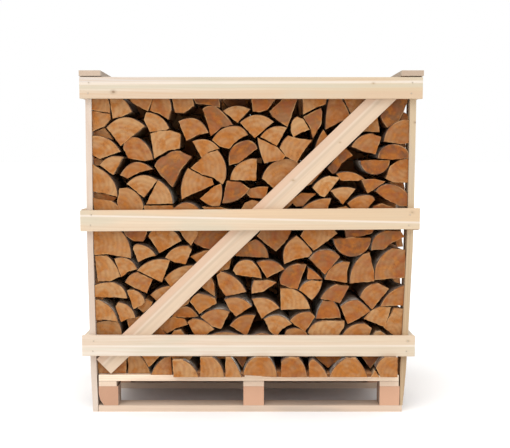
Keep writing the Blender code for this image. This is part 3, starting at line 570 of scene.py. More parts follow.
LOWER = """
o: 94.5 227, 115 226 5, 130.8 258, 119 256, 109 254, 94.8 254.5
l: 95 255.8, 107 255.8 2, 120.3 276.5, 111 280.8, 98 281.5
l: 115 258.7 1.5, 129 259.3 1, 137 268.8, 129 271, 121.3 276.7
r: 121 225, 148 225, 146.5 234, 143 241.5, 134 241, 126 236
l: 133.3 249 1, 136.5 244.3 3, 155.8 255.5, 146 258, 138.3 262
l: 148.7 236 1, 156 228, 168 228 2, 181 240.5, 168 248, 159.5 252.8
l: 137.5 270.3 5, 170 260.3, 162 282
a: 125.7 282 2, 137 272.3, 152.5 279.5, 147 292.8, 134 287
l: 164.3 279 4, 194 266, 188 280, 172 289
l: 94.5 286 1.2, 113 282.3 3.5, 127 297.8, 112 297, 94.5 296.5
l: 127.3 290.5, 134 290 2.5, 144.8 302, 142 305, 133.5 308.8
l: 150.5 295.5 2, 168 286.8, 175 289, 166 300, 158 302.5
g: 145 299.5, 152 303, 149 309, 143 313, 137 308.5
l: 94.3 299.5, 99 300 4, 117.8 321.3, 106 319.5, 95.5 319.5
l: 115.7 306.5, 118.5 302.2 4, 135.3 317.5, 127 319, 121.3 321.8
l: 94.5 327 1.5, 101 322.3 0.5, 109 321.8, 117.5 322.3 1, 121 336, 116 343, 96 343
o: 126.5 320.5, 139 317.5, 148 327, 143 338, 130 336
o: 156 325, 172 317.5, 184 319.5, 187.5 325, 176 328.5, 167 334
a: 146 341, 160 327, 166 336, 163 346, 150 347
o: 176 225, 199 225, 197.5 235, 191 245.5, 184 237.5
r: 200 225, 232 225, 226 238, 211 250, 203 248, 193.5 243
l: 165.5 257.5 4, 188 246, 191.5 250, 185.5 264, 175 262.3
o: 190.5 257, 203 251.5, 213 250, 208 262, 198 263.5
r: 235 256, 246 243, 256 240 3, 268.5 258, 252 257.5
l: 233.2 270 5, 252 261.3 2, 261.3 278, 246 276, 236 274.5
a: 216.8 275.5, 221 271.8 4, 245.8 291.5, 232 294.8, 226 296, 219.5 287
k: 200 286, 210 276, 214 285, 214.5 297, 206 291
g: 190.3 301.5 1, 198 293.5 1, 215 298.5, 216.5 303, 206 309, 199.5 313.5
a: 172 317 10, 198 316.8, 185 318.2
a: 201 316.8 5, 229.5 311.7, 221 328.5, 213 326.5
o: 224.8 299.5 5, 251.5 306, 236 316, 229.5 309
a: 230.3 325.5 4.5, 255 315.5, 246.5 336
o: 187.8 322, 193 318.8 3, 213.8 329, 202 337, 196 337
l: 168 339, 174 331, 181 330, 187 339, 180 346, 170 346
l: 204 338 6, 246 338, 236 350, 214 350
r: 257 236.5, 264 226, 293 226, 288 239, 276 251.5, 266 244
o: 296.5 236 1, 312 252.5, 309 256.5, 296 259, 284.5 263.8 6
o: 300.7 236, 306 227, 332 227, 337.3 233.5, 324 243.5, 313.5 250.5
r: 309.7 259 3, 326 250 2, 339.5 256.8, 324.8 274.3
a: 257.3 262.3 5, 284.3 269, 275 273.3, 267 277.8
r: 280 280 4, 297 264, 306.3 264.7, 297.3 289, 289 287.5, 280.5 284
a: 307.3 279, 308.3 268 1, 322 279.3
l: 299.2 289.7 2, 311 280.5, 321.8 281.5 2, 311.5 299.5, 305 294
k: 252 293.5 1, 254 281, 268 280.2, 276.5 282.5, 263 291.5
l: 252.3 299 5, 279.3 308, 269 313, 261.5 318.3
y: 280.3 288.8, 291 288.5 4, 309.8 308.5, 281 309.8
l: 264.2 319 6, 291.5 323.5, 282 328.5, 276.5 336.5, 270 331
a: 290.2 320.5 3, 310 312, 315 316.8, 305 331.3, 295 325
r: 316.3 318.5 1, 323 301, 333 301.5 2, 340.3 317.8
l: 308 332.5 3, 322 320.8, 344.3 321, 344 326, 338 336, 334 342, 315 342
o: 285 338 1, 287 330 2.5, 305 331.5, 311 339, 305 347, 289 347
a: 249 338 5, 275 338, 269 348, 255 348
d: 334 239.5, 352 237.3, 370.5 238.3 17.5
d: 344 225, 376 225, 372 233, 360 236.5, 346 237.5
r: 371.5 250 5, 386 230.5, 400 231, 402.8 236.5, 391 243, 384 249
r: 375 279.5 6, 392 248.3, 403.5 250, 403.5 277.5
a: 350 283 4, 363 254.5, 369.3 252.3, 373.8 272, 373.8 281
a: 325 279 4, 343 262, 349.8 262.5, 347 272, 346.8 282.5
r: 321 298.5 2, 336 284.5, 349 286.5, 344 296, 340 303, 332 301
a: 360.3 297 4, 378 283.3, 388.8 288.8, 380 299.5, 372 309.5
a: 380.5 306 4, 402.8 285.3, 403 305
a: 340.7 306.5 2, 357 299.8 1, 369.8 310.8, 357 319, 347.5 323.5
l: 364 318.8 2, 380 306.8, 391 307, 385 327
l: 394 308, 402.3 309, 402 335, 394 335.5, 384 327.5
o: 341 338 5, 364 323.5, 371.5 328, 366 342, 346 344
p: 370 340, 376 332, 381 331.5, 389 338, 384 347, 372 347
"""
FOOT = """
k: 97 353, 124 353, 126 362, 125.5 374, 98 374
l: 127.5 353, 137 354 2, 150 375, 128 375
t: 141 354, 162 354, 149 366.5
k: 151.5 375 2, 164 358, 171 356, 172.5 375.5
g: 165 350, 197 350, 189 360, 174 359.5
d: 232 352, 250 352, 242.5 367
d: 310 352, 347 352, 328 367.5
d: 358 352, 383 352, 370 368
"""
TOES = """
l: 172.5 360.5, 183 360.5 3, 198.3 377.5, 173.5 377.5
o: 200.3 357, 212 357 3, 224 377.5, 200.5 377.5
l: 225.7 357, 230.5 357 1, 241.5 377.5, 225.5 377.5
o: 243.5 375 3, 256 356.5, 268 356.5 2, 276.8 377.5
a: 281 377.5, 281.5 362 1, 289 357.5, 299 358.5 2, 306.5 377.5
o: 309.3 377.5, 309 364 1, 313 359.5 2, 327.8 377.5
t: 329.5 377.5 2.5, 346 358.5, 356 358.5 1.5, 367.5 377.5
l: 371 377.5, 375 370.5, 379.5 377.5
o: 376.3 368 1.5, 385 357, 397.5 356.5, 397.5 377.5, 380.5 377.5
"""
HIDDEN = """
o: 93 83 3, 112 84, 124 92, 108 91, 94 90
o: 126 90 4, 152 82, 156 91
r: 158 91 4, 182 84, 186 92
o: 190 90 5, 214 82, 220 90
d: 225 91 3, 240 84, 256 91, 240 92
o: 258 91 4, 282 83, 287 92
o: 300 91 5, 324 83, 330 92
r: 334 92 4, 356 83, 368 90
o: 372 90 4, 394 84, 406 93, 384 104
o: 97 222, 118 221, 114 225.5, 96 226
l: 122 216.5 2, 142 217, 149 224, 124 224
o: 144 206, 172 205.5, 176 213, 166 221, 147 219
o: 151 222.5, 168 222, 174 225, 160 227.5
r: 178 222.5, 196 222.5, 203 212, 214 218, 210 224, 180 224.5
o: 202 207, 220 207, 238 213, 234 222, 216 220
o: 240 220 2, 262 215, 276 207, 286 214, 280 224.5, 262 225
d: 288 214, 304 209, 308 217, 322 219, 318 226, 296 225
o: 326 212, 346 206, 353 213, 368 211, 366 223.5, 328 224.5
l: 370 220.5, 396 219.5, 402 226, 386 229.5, 378 224
o: 98 344.5, 116 344.5, 124 340, 142 340, 146 351, 98 351.5
r: 147 348.5, 163 347.5, 170 347.5, 180 347.5, 186 341, 203 339, 212 349, 150 353
o: 213 351.5, 237 351.5, 247 340.5, 255 350, 262 351, 254 356, 218 359
o: 256 350.5, 269 349.5, 277 339, 285 340, 289 349, 305 349, 308 357, 270 355.5
d: 306 348, 312 342, 334 343.5, 345 345, 366 343.5, 370 350.5, 310 351
o: 232 228, 250 232, 240 246, 224 252, 218 244
l: 214 253, 232 256, 229 269, 215 274, 206 265
o: 196 266, 212 272, 206 282, 194 292, 186 284
o: 178 288, 192 294, 188 304, 174 312, 166 303
r: 151 306, 170 313, 156 323, 145 317
l: 340 124, 352 117, 364 118, 354 132, 344 138, 334 134
d: 334 140, 346 138, 358 134, 346 146, 336 156, 328 150
o: 372 104, 392 100, 380 114, 366 117
o: 371 349, 385 348, 390 338, 401 337, 400 355, 386 355.5, 372 351.5
"""
TUCKED = """
k: 93 132.6, 104 127.8, 112.5 139.5, 104 137.2, 93.5 135.2
k: 93.3 156.5, 99.5 160, 108 160.6, 100 165.6, 93.4 165.4
k: 93.4 192.6, 105 194.6, 116 198, 112 201.2, 93.4 198.8
k: 93 109.2, 101.5 110.6, 101 113.2, 93 112.6
k: 93.5 278, 99 280.6, 101 284.5, 93.5 284.5
k: 93.5 318.6, 101 319.6, 101 324, 93.5 323
r: 398.5 119.8, 403.5 112, 406.5 114, 408 119.4
k: 394 143.8, 404.8 143.6, 405 147.4, 398 147.4
k: 390 182.6, 402.8 182.8, 404 190, 398 188.6
k: 396 229.4, 401.6 229.4, 402.2 247, 398 247.4, 396.5 240
k: 394 277.4, 400.4 277.4, 401 284, 395 282
k: 93.5 295.5, 101 296, 102 300.5, 93.5 300
"""
DEEP = """
d: 222 99 2, 236 92, 249 98, 246 106, 229 107
d: 229 120.5, 236.5 120.5, 237 127, 231 127
k: 242 157.6, 262.5 158, 262.5 163, 246 161.5
k: 299 88, 304 88, 303 114, 300.5 114
"""
# Small dark pieces at the foot of the gaps between the toes, put there as painted shade
SHADE_BITS = """
b: 197 372.5, 201.5 372.5, 201.5 377.5, 197 377.5
b: 223 374, 226.5 374, 226.5 377.5, 223 377.5
b: 240.5 373.5, 244.5 373.5, 244.5 377.5, 240.5 377.5
b: 275.5 372, 282 372, 282 377.5, 275.5 377.5
b: 305.5 373, 310 373, 310 377.5, 305.5 377.5
b: 327 374, 330.5 374, 330.5 377.5, 327 377.5
b: 366 373.5, 372 373.5, 372 377.5, 366 377.5
"""
tables = {"upper": UPPER, "lower": LOWER, "foot": FOOT, "toes": TOES, "hidden": HIDDEN, "tucked": TUCKED,
          "deep": DEEP, "shade_bits": SHADE_BITS}
print({name: len(text.strip().splitlines()) for name, text in tables.items()}, "logs in a row")

# %% [markdown]
# ## From outline to log
# Each outline is carried onto the plane of the ends by running the lens's arithmetic backwards. Then
# its edges are cut into short steps: a bark edge becomes an arc, and a split edge stays straight but
# wavers, because wood splits along its fibres. The outermost logs lean against the posts, so corners
# close to a post are pushed a little past its face here and held back at it later.

# %% Outlines as points in metres
ENDS_Y, TOES_Y = -0.3680, -0.4160
FINE_STEP, COARSE_STEP = 0.0085, 0.0170
POST_EDGES = (94.6, 401.9)
POST_PUSH = 1.6
WAVER, WAVER_SHARE = 0.0011, 0.03
# A bulge past this many steps of the picture is a half circle
HALF_ROUND = 12


def seen(x, y, plane=ENDS_Y):
    # Where a point of the picture lies on an upright plane, across and up
    rise = (EYE_MIDDLE[1] - y) / EYE_STEPS
    reach = (plane - EYE.y) / (math.cos(EYE_TILT) + rise * math.sin(EYE_TILT))
    return Vector((EYE.x + reach * (x - EYE_MIDDLE[0]) / EYE_STEPS,
                   EYE.z + reach * (rise * math.cos(EYE_TILT) - math.sin(EYE_TILT))))


# One step of the picture near the crate's middle, in metres
PHOTO_STEP = (seen(300, 200) - seen(299, 200)).length


def pairs_round(ring):
    # Each member of a closed ring with the next one
    return zip(ring, ring[1:] + ring[:1])


def outward(a, b):
    # The way out of an outline that runs counterclockwise, from its edge between two points
    return Vector((b.y - a.y, a.x - b.x)).normalized()


def turned_left(points):
    return sum(a.x * b.y - b.x * a.y for a, b in pairs_round(points)) > 0


def backwards(points, edges):
    # The same outline the other way round, each edge still after its point
    return points[::-1], edges[-2::-1] + edges[-1:]


def pushed_to_posts(corners):
    # Corners close to a post are moved a little past its face
    made = []
    for x, y, bulge in corners:
        way = -1 if x < POST_EDGES[0] else 1 if x > POST_EDGES[1] else 0
        made.append([x + way * POST_PUSH, y, bulge])
    return made


def read_logs(names):
    # Each line's table, letter and corners; a corner without a third number has no bulge
    for name in names:
        for line in tables[name].strip().splitlines():
            letter, shape = line.split(":")
            corners = [([float(v) for v in corner.split()] + [0.0])[:3] for corner in shape.split(",")]
            yield name, letter, pushed_to_posts(corners)


def outline(corners, step, draw, plane=ENDS_Y):
    # Points round a log's end, and for each the kind of the edge after it: 1 bark, 0 split
    spots = [seen(x, y, plane) for x, y, _ in corners]
    bulges = [bulge for _, _, bulge in corners]
    if not turned_left(spots):
        spots, bulges = backwards(spots, bulges)
    points, kinds = [], []
    for bulge, (a, b) in zip(bulges, pairs_round(spots)):
        run = b - a
        rise = bulge * PHOTO_STEP
        count = max(1, round((run.length + rise) / step))
        waver = 0.0 if rise else min(WAVER, run.length * WAVER_SHARE)
        for k in range(count):
            t = k / count
            swell = rise * 4 * t * (1 - t)
            if bulge > HALF_ROUND:
                t = (1 - math.cos(math.pi * t)) / 2
                swell = rise * 2 * math.sqrt(t * (1 - t))
            stray = waver * draw.uniform(-1, 1) if k else 0.0
            points.append(a + run * t + outward(a, b) * (swell + stray))
            kinds.append(1 if rise else 0)
    return points, kinds


print("a step of the picture is", round(PHOTO_STEP * 1000, 2), "mm")

# %% [markdown]
# ## Room for the logs
# The posts' faces bow inward near the pallet, the logs stand on the deck, and those that reach out past
# the front rails stay under the bottom one. Where each of these is comes from the boards themselves.
# Logs behind the brace have to stand back from it, so a test says which outlines come near it.

# %% Posts, deck, rail and brace around the logs
POST_GAP = 0.0008
CLEAR = 0.0006
NO_CEILING = 9.0
DECK_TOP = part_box("deck_board_1")[1].z
RAIL_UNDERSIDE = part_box("bottom_front_rail")[0].z
BRACE_HALF = 0.03725
BRACE_ROOM, PAST_HEAD = 0.005, 0.04
brace_foot, brace_head = (Vector((x + EYE.x, z)) for x, z in (BRACE_FOOT, BRACE_HEAD))


def inner_face(name, pick):
    # Heights at which a post bends, and where its face toward the logs is at each
    levels = {}
    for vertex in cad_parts[name].data.vertices:
        levels.setdefault(round(vertex.co.z, 3), []).append(vertex.co.x)
    heights = sorted(levels)
    return heights, [pick(levels[height]) for height in heights]


POST_FACES = (inner_face("front_left_post", max), inner_face("front_right_post", min))


def room_between(height):
    low, high = (float(np.interp(height, *face)) for face in POST_FACES)
    return low + POST_GAP, high - POST_GAP


def touches_brace(points):
    across = -outward(brace_foot, brace_head)
    lanes = [across.dot(p - brace_foot) for p in points]
    if min(lanes) > BRACE_HALF + BRACE_ROOM or max(lanes) < -BRACE_HALF - BRACE_ROOM:
        return False
    return min(p.y for p in points) < brace_head.y + PAST_HEAD


print("room between the posts", [round(v, 4) for v in room_between(DECK_TOP)], "at the deck")

# %% [markdown]
# ## The logs as mesh
# A log is its outline carried along the depth of its row: a ring of points at each of several
# stations. Hundreds of single objects would be slow, so a row's logs are collected as plain lists and
# become one mesh. Every point also stores what the shader needs: how dark, how red, a chance of its
# own, and how near the rim.

# %% Lists that collect a row of logs
WOOD, SIDE, SKIN, LIP = range(4)
TINY = 1e-6
SHARPEST = 0.6


class Row:
    # Collects the logs of one row as plain lists
    def __init__(self):
        self.points, self.faces, self.kinds, self.uvs = [], [], [], []
        self.timber, self.rims = [], []

    def add(self, ring, depth, rim, timber):
        # A ring of points with its wood and its rim value; returns where it starts
        start = len(self.points)
        self.points += [(p.x, y, p.y) for p, y in zip(ring, depth)]
        self.timber += [timber] * len(ring)
        self.rims += [rim] * len(ring)
        return start

    def face(self, corners, uv, kind, flip):
        self.faces.append(corners[::-1] if flip else corners)
        self.uvs += uv[::-1] if flip else uv
        self.kinds.append(kind)

    def bridge(self, a, b, kinds, uv_a, uv_b, flip):
        # A band of four-cornered faces between two rings
        count = len(kinds)
        for n, kind in enumerate(kinds):
            m = (n + 1) % count
            self.face([a + n, a + m, b + m, b + n], [uv_a[n], uv_a[n + 1], uv_b[n + 1], uv_b[n]], kind, flip)


def mean(points):
    return sum(points, Vector((0.0, 0.0))) / len(points)


def ring_out(points, amounts):
    # Each point moved out along its bisector by its own amount
    made = []
    for n, here in enumerate(points):
        into = (here - points[n - 1]).normalized()
        out = (points[(n + 1) % len(points)] - here).normalized()
        normal = Vector((into.y + out.y, -into.x - out.x))
        if normal.length < TINY:
            made.append(here.copy())
            continue
        normal.normalize()
        lean = max(SHARPEST, normal.dot(Vector((out.y, -out.x))))
        made.append(here + normal * amounts[n] / lean)
    return made


print("kinds of face:", WOOD, "sawn end,", SIDE, "split side,", SKIN, "bark,", LIP, "bark's edge")

# %% [markdown]
# ## What makes each log different
# No two logs look alike, because each was split by hand from another trunk. Its pith lies away from
# its bark, it leans a little, its split sides have ridges that run lengthways, and its wood is darker
# or redder than the next one's. All of it is drawn once for each log, from a random source with a
# fixed seed. Between the posts the outermost logs' sides are round, and half of them still have bark.

# %% Chances from log to log
# The darkest look, b, is for the pieces set as painted shade at the foot of the gaps
LOOKS = {"l": (0.30, 0.25), "p": (0.06, 0.10), "y": (0.27, 0.0), "o": (0.53, 0.42), "a": (0.66, 0.75),
         "r": (0.79, 1.00), "d": (0.92, 0.62), "t": (0.42, 0.10), "k": (0.36, 0.80), "g": (0.62, 0.10),
         "b": (1.00, 0.20)}
LOOK_STRAY = 0.06
BARK, SPLIT_RIM = 0.0016, 0.0005
PITH_AWAY, PITH_ASIDE = (1.5, 2.1), (0.03, 0.07)
LEAN_ACROSS, LEAN_UP = (-0.02, 0.02), (-0.03, 0.02)
RIDGE = 0.0022
DRIFT_ACROSS, DRIFT_UP = 0.003, 0.002
SIDE_ROUND, SIDE_STRAY = 0.010, 0.006
AT_POST = 0.002
# Each of these makes another chance out of a log's own one
GAP_SHADE_LUCK, BARK_LUCK, ROUND_LUCK = 7, 11, 13


def any_way(draw):
    angle = draw.uniform(0, math.tau)
    return Vector((math.cos(angle), math.sin(angle)))


def find_pith(points, kinds, draw):
    # The tree's middle: away from the bark, or to any side of a log that has none
    bark = [p for p, kind in zip(points, kinds) if kind]
    if bark:
        return mean(points) + (mean(points) - mean(bark)) * draw.uniform(*PITH_AWAY)
    return mean(points) + any_way(draw) * draw.uniform(*PITH_ASIDE)


print("bark", BARK * 1000, "mm thick, ridges up to", RIDGE * 1000, "mm")

# %% One log's own shape and wood
class Log:
    # One log's outline, its wood, and the chances that make it differ from the next one
    def __init__(self, points, kinds, near, far, look, draw):
        self.points, self.kinds, self.near, self.far = points, kinds, near, far
        self.middle = mean(points)
        self.pith = find_pith(points, kinds, draw)
        tone, red = (min(1.0, max(0.0, v + draw.uniform(-LOOK_STRAY, LOOK_STRAY))) for v in look)
        self.timber = (tone, red, draw.random())
        self.barky = [max(kind, kinds[n - 1]) for n, kind in enumerate(kinds)]
        self.lean = draw.uniform(*LEAN_ACROSS), draw.uniform(*LEAN_UP)
        self.ridge = [0.0 if k else draw.uniform(0.0, RIDGE) for k in self.barky]
        self.drift = Vector((draw.uniform(-DRIFT_ACROSS, DRIFT_ACROSS), draw.uniform(-DRIFT_UP, DRIFT_UP)))
        self.lip = ring_out(points, [BARK if k else SPLIT_RIM for k in self.barky])
        self.half = max(abs(p.y - self.middle.y) for p in points)
        self.ceiling = RAIL_UNDERSIDE - CLEAR if near < FRONT or far > -FRONT else NO_CEILING

    def luck(self, turns):
        return self.timber[2] * turns % 1

    def slope(self, p):
        # How much further along a leaning end is at one point
        return (p.x - self.middle.x) * self.lean[0] + (p.y - self.middle.y) * self.lean[1]

    def held(self, p):
        # Between the posts, no lower than the deck, and under the bottom rail where it stands out
        low, high = room_between(p.y)
        return Vector((min(max(p.x, low), high), max(min(p.y, self.ceiling), DECK_TOP + CLEAR)))

    def rounded(self, p, swell):
        # Between the posts an outer log's side is round: its corners draw back from the posts' faces
        low, high = room_between(p.y)
        height = (p.y - self.middle.y) / self.half
        back = swell * (SIDE_STRAY * self.luck(ROUND_LUCK) + SIDE_ROUND * height ** 2)
        return Vector((min(max(p.x, low + back), high - back), p.y))

    def outermost(self, p):
        low, high = room_between(p.y)
        return p.x < low + AT_POST or p.x > high - AT_POST

    def end_map(self, ring):
        # Places on the end counted from the pith, with the first one repeated to close the ring
        made = [(p.x - self.pith.x, p.y - self.pith.y) for p in ring]
        return made + made[:1]

    def lay(self, row, ring, y, rim):
        return row.add([self.held(p) for p in ring], [y + self.slope(p) for p in ring], rim, self.timber)


print(len(LOOKS), "looks, and outer sides rounded by up to", (SIDE_ROUND + SIDE_STRAY) * 1000, "mm")

# %% [markdown]
# ## Ends and sides of a log
# At each end the rim is broken by a small chamfer, and another ring further in lets the colour change
# near the edge. The bark just behind an end that faces out of the crate is painted dark, as painted
# shade for the gaps between the logs, more on some logs than on others and less on the ends inside.
# Along the sides the rings swell and waver a little between the two ends, so that no side is a flat strip.

# %% Build one log
CHAMFER = 0.0014
RIM_DEPTH, RIM_SHARE = 0.0050, 0.3
# How dark the bark behind an end is painted, from log to log: painted shade for the gaps between logs
GAP_SHADE_RANGE, INNER_GAP_SHADE = (0.10, 1.00), 0.35
OUTER = 0.25
STATIONS = 6
SIDE_BARKED = 0.5
RIDGE_START, RIDGE_GROWTH = 0.4, 0.9
SPLIT_STRAY, BARK_STRAY = 0.0006, 0.0008
GRAIN_APART = 7.0


def add_ends(row, log):
    # Both sawn ends, from the face's inner ring over its rim to the chamfer's edge; returns the edges
    inner = []
    for p in log.points:
        to_middle = log.middle - p
        inner.append(p + to_middle * min(RIM_SHARE, RIM_DEPTH / max(TINY, to_middle.length)))
    inner_map, rim_map, lip_map = (log.end_map(ring) for ring in (inner, log.points, log.lip))
    # How much painted shade darkens the bark behind this log's ends
    gap_shade = GAP_SHADE_RANGE[0] + (GAP_SHADE_RANGE[1] - GAP_SHADE_RANGE[0]) * log.luck(GAP_SHADE_LUCK)
    edges = []
    # The rim value is 1 round the sawn face, and on the chamfer's edge it says how much painted shade the
    # bark gets
    for face_y, way in ((log.near, 1), (log.far, -1)):
        flat = log.lay(row, inner, face_y, 0.0)
        rim = log.lay(row, log.points, face_y, 1.0)
        painted_shade = gap_shade if abs(face_y) > OUTER else gap_shade * INNER_GAP_SHADE
        edge = log.lay(row, log.lip, face_y + way * CHAMFER, painted_shade)
        row.face(list(range(flat, rim)), inner_map[:-1], WOOD, way < 0)
        row.bridge(flat, rim, [WOOD] * len(inner), inner_map, rim_map, way > 0)
        row.bridge(rim, edge, [LIP if k else WOOD for k in log.kinds], rim_map, lip_map, way > 0)
        edges.append(edge)
    return edges


def side_kinds(log):
    # Bark stays bark, and some of the outermost logs have it toward the post too
    shown = [log.luck(BARK_LUCK) < SIDE_BARKED and log.outermost(p) for p in log.points]
    return [SKIN if kind or a and b else SIDE for kind, (a, b) in zip(log.kinds, pairs_round(shown))]


def add_sides(row, log, front, back, draw):
    # Rings from end to end, with a map that runs around and along the log
    around = [0.0]
    for a, b in pairs_round(log.lip):
        around.append(around[-1] + (b - a).length)
    kinds = side_kinds(log)
    start = log.timber[2] * GRAIN_APART
    last, last_map = front, [(s, start) for s in around]
    for k in range(1, STATIONS):
        t = k / STATIONS
        y = log.near + CHAMFER + (log.far - log.near - 2 * CHAMFER) * t
        swell = math.sin(math.pi * t)
        amounts = []
        for ridge, barky in zip(log.ridge, log.barky):
            stray = BARK_STRAY * draw.random() if barky else draw.uniform(0.0, SPLIT_STRAY)
            amounts.append(-ridge * (RIDGE_START + RIDGE_GROWTH * swell) - stray)
        ring = [log.held(log.rounded(p + log.drift * swell, swell)) for p in ring_out(log.lip, amounts)]
        here = row.add(ring, [y + log.slope(p) * (1 - t) for p in ring], 0.0, log.timber)
        here_map = [(s, start + y - log.near) for s in around]
        row.bridge(last, here, kinds, last_map, here_map, True)
        last, last_map = here, here_map
    row.bridge(last, back, kinds, last_map, [(s, start + log.far - log.near) for s in around], True)


def add_log(row, points, kinds, near, far, letter, draw):
    log = Log(points, kinds, near, far, LOOKS[letter], draw)
    front, back = add_ends(row, log)
    add_sides(row, log, front, back, draw)


print("rim chamfer", CHAMFER * 1000, "mm,", STATIONS - 1, "rings between the ends")

# %% [markdown]
# ## Birch: sawn ends, split sides and bark
# Dried birch is orange to tan where it was sawn, with a redder heart near the pith and faint rings,
# patches where sap dried, and fine saw marks. The split sides are fibrous and run lengthways. The
# bark is chalky white with thin dark dashes around the trunk, and brown where it has peeled. The rings
# are drawn in a map of distances from the pith, which each log stores with its points.

# %% Shader group: birch end grain
STRAW, TAN = colour(0.520, 0.305, 0.135), colour(0.380, 0.163, 0.048)
UMBER, AMBER = colour(0.110, 0.033, 0.008), colour(0.430, 0.145, 0.017)
RUST, ROSE = colour(0.270, 0.064, 0.016), colour(0.410, 0.195, 0.100)
RINGS_CLOSE, BANDS_CLOSE = 1500.0, 380.0

tree, given, end = group(
    "birch_end_grain",
    [("Map", "Vector", None), ("Timber", "Vector", None), ("Rim", "Float", 0.0)],
    [("Color", "Color"), ("Height", "Float"), ("Roughness", "Float")])
timber = xyz(tree, given["Timber"])
flat = xyz(tree, given["Map"])
far = length(tree, given["Map"])
spot = vector(tree, flat[0], flat[1], times(tree, timber[2], 9.0))
bend = cloud(tree, spot, 0.030, 2.0)
mottle = cloud(tree, spot, 0.027, 3.0, 0.5)
bloom = cloud(tree, vector_calc(tree, "MULTIPLY", spot, (1.0, 1.3, 2.0)), 0.034, 3.0)
speck = cloud(tree, spot, 0.0028, 2.0)
ring = calc(tree, "SINE", calc(tree, "MULTIPLY_ADD", bend, 9.0, times(tree, far, RINGS_CLOSE)))
band = calc(tree, "SINE", calc(tree, "MULTIPLY_ADD", bend, 7.0, times(tree, far, BANDS_CLOSE)))
heart = ease(tree, calc(tree, "MULTIPLY_ADD", bloom, 0.030, far), 0.022, 0.060, 1.0, 0.0)
fresh = ease(tree, timber[0], 0.35, 0.85, 1.0, 0.30)
# Drying cracks run out from the pith, where noise around it crosses its middle value
angle = calc(tree, "ARCTAN2", flat[1], flat[0])
split = cloud(tree, vector(tree, angle, times(tree, timber[2], 31.0), times(tree, far, 6.0)), 0.30, 2.0)
near_line = size_of(tree, calc(tree, "SUBTRACT", split, 0.5))
check = times(tree, ease(tree, near_line, 0.0, 0.010, 1.0, 0.0), ease(tree, mottle, 0.50, 0.60))
# Saw marks are straight and cross each end in a direction of its own
swing = times(tree, timber[2], math.tau)
saw = calc(tree, "ADD", times(tree, flat[0], calc(tree, "COSINE", swing)),
           times(tree, flat[1], calc(tree, "SINE", swing)))
saw = cloud(tree, vector(tree, saw, timber[2]), 0.0030, 2.0)
rim = calc(tree, "POWER", given["Rim"], 2.0)
tone = layered(tree, STRAW,
               (ease(tree, timber[0], 0.0, 0.5), TAN),
               (ease(tree, timber[0], 0.5, 1.0), UMBER),
               (ease(tree, mottle, 0.42, 0.66, 0.0, 0.72), AMBER),
               (times(tree, ease(tree, bloom, 0.38, 0.66, 0.0, 0.75), timber[1]), RUST),
               (times(tree, heart, 0.65), AMBER),
               (times(tree, heart, times(tree, timber[1], 0.45)), RUST),
               (times(tree, fresh, ease(tree, far, 0.050, 0.095, 0.0, 0.32)), STRAW),
               (times(tree, fresh, ease(tree, mottle, 0.58, 0.30, 0.0, 0.34)), STRAW),
               (times(tree, fresh, ease(tree, bloom, 0.46, 0.30, 0.0, 0.42)), ROSE),
               (calc(tree, "MULTIPLY_ADD", ring, 0.05, 0.05), UMBER),
               (calc(tree, "MULTIPLY_ADD", band, 0.085, 0.085), UMBER),
               (ease(tree, speck, 0.55, 0.8, 0.0, 0.16), UMBER),
               (times(tree, check, 0.55), UMBER),
               (times(tree, rim, ease(tree, bend, 0.42, 0.62, 0.0, 0.8)), STRAW),
               (times(tree, rim, ease(tree, bend, 0.55, 0.3, 0.0, 0.5)), UMBER),
               (ease(tree, saw, 0.5, 0.75, 0.0, 0.12), UMBER))
lift = calc(tree, "MULTIPLY_ADD", saw, 0.8, times(tree, speck, 0.5))
fill(tree, end, {"Color": tone, "Height": calc(tree, "SUBTRACT", lift, check),
                 "Roughness": ease(tree, mottle, 0.3, 0.7, 0.62, 0.82)})
BIRCH_END = tree
print("group", tree.name, len(tree.nodes), "nodes")

# %% Shader groups: split birch and birch bark
# Painted shade: the dark brown given to bark near the logs' ends
PAINTED_GAP_SHADE = colour(0.150, 0.095, 0.068)


def log_spot(tree, given):
    # A log's wood, and a place on its map that differs from log to log
    timber = xyz(tree, given["Timber"])
    return timber, vector_calc(tree, "ADD", given["Map"], vector(tree, z=timber[2]))


tree, given, end = group(
    "split_birch", [("Map", "Vector", None), ("Timber", "Vector", None)],
    [("Color", "Color"), ("Height", "Float")])
timber, spot = log_spot(tree, given)
strand = streaks(tree, spot, (320.0, 9.0, 9.0), 3.0, 0.65)
wide = streaks(tree, spot, (60.0, 5.0, 5.0))
tone = layered(tree, colour(0.55, 0.39, 0.235),
               (ease(tree, timber[0], 0.0, 0.7), colour(0.43, 0.235, 0.110)),
               (ease(tree, timber[0], 0.6, 1.0), colour(0.25, 0.115, 0.050)),
               (ease(tree, wide, 0.40, 0.70, 0.0, 0.65), colour(0.32, 0.135, 0.055)),
               (ease(tree, strand, 0.50, 0.75, 0.0, 0.45), colour(0.20, 0.092, 0.040)),
               (ease(tree, strand, 0.45, 0.25, 0.0, 0.40), colour(0.56, 0.41, 0.25)))
fill(tree, end, {"Color": tone, "Height": calc(tree, "MULTIPLY_ADD", wide, 0.8, strand)})
SPLIT_BIRCH = tree

tree, given, end = group(
    "birch_bark", [("Map", "Vector", None), ("Timber", "Vector", None), ("Rim", "Float", 0.0)],
    [("Color", "Color"), ("Height", "Float"), ("Roughness", "Float")])
timber, spot = log_spot(tree, given)
dash = streaks(tree, spot, (42.0, 300.0, 20.0))
scale = streaks(tree, spot, (26.0, 70.0, 9.0), 4.0, 0.6)
peel = streaks(tree, spot, (9.0, 15.0, 6.0), 4.0, 0.6)
painted_shade = streaks(tree, spot, (60.0, 60.0, 30.0), 3.0, 0.6)
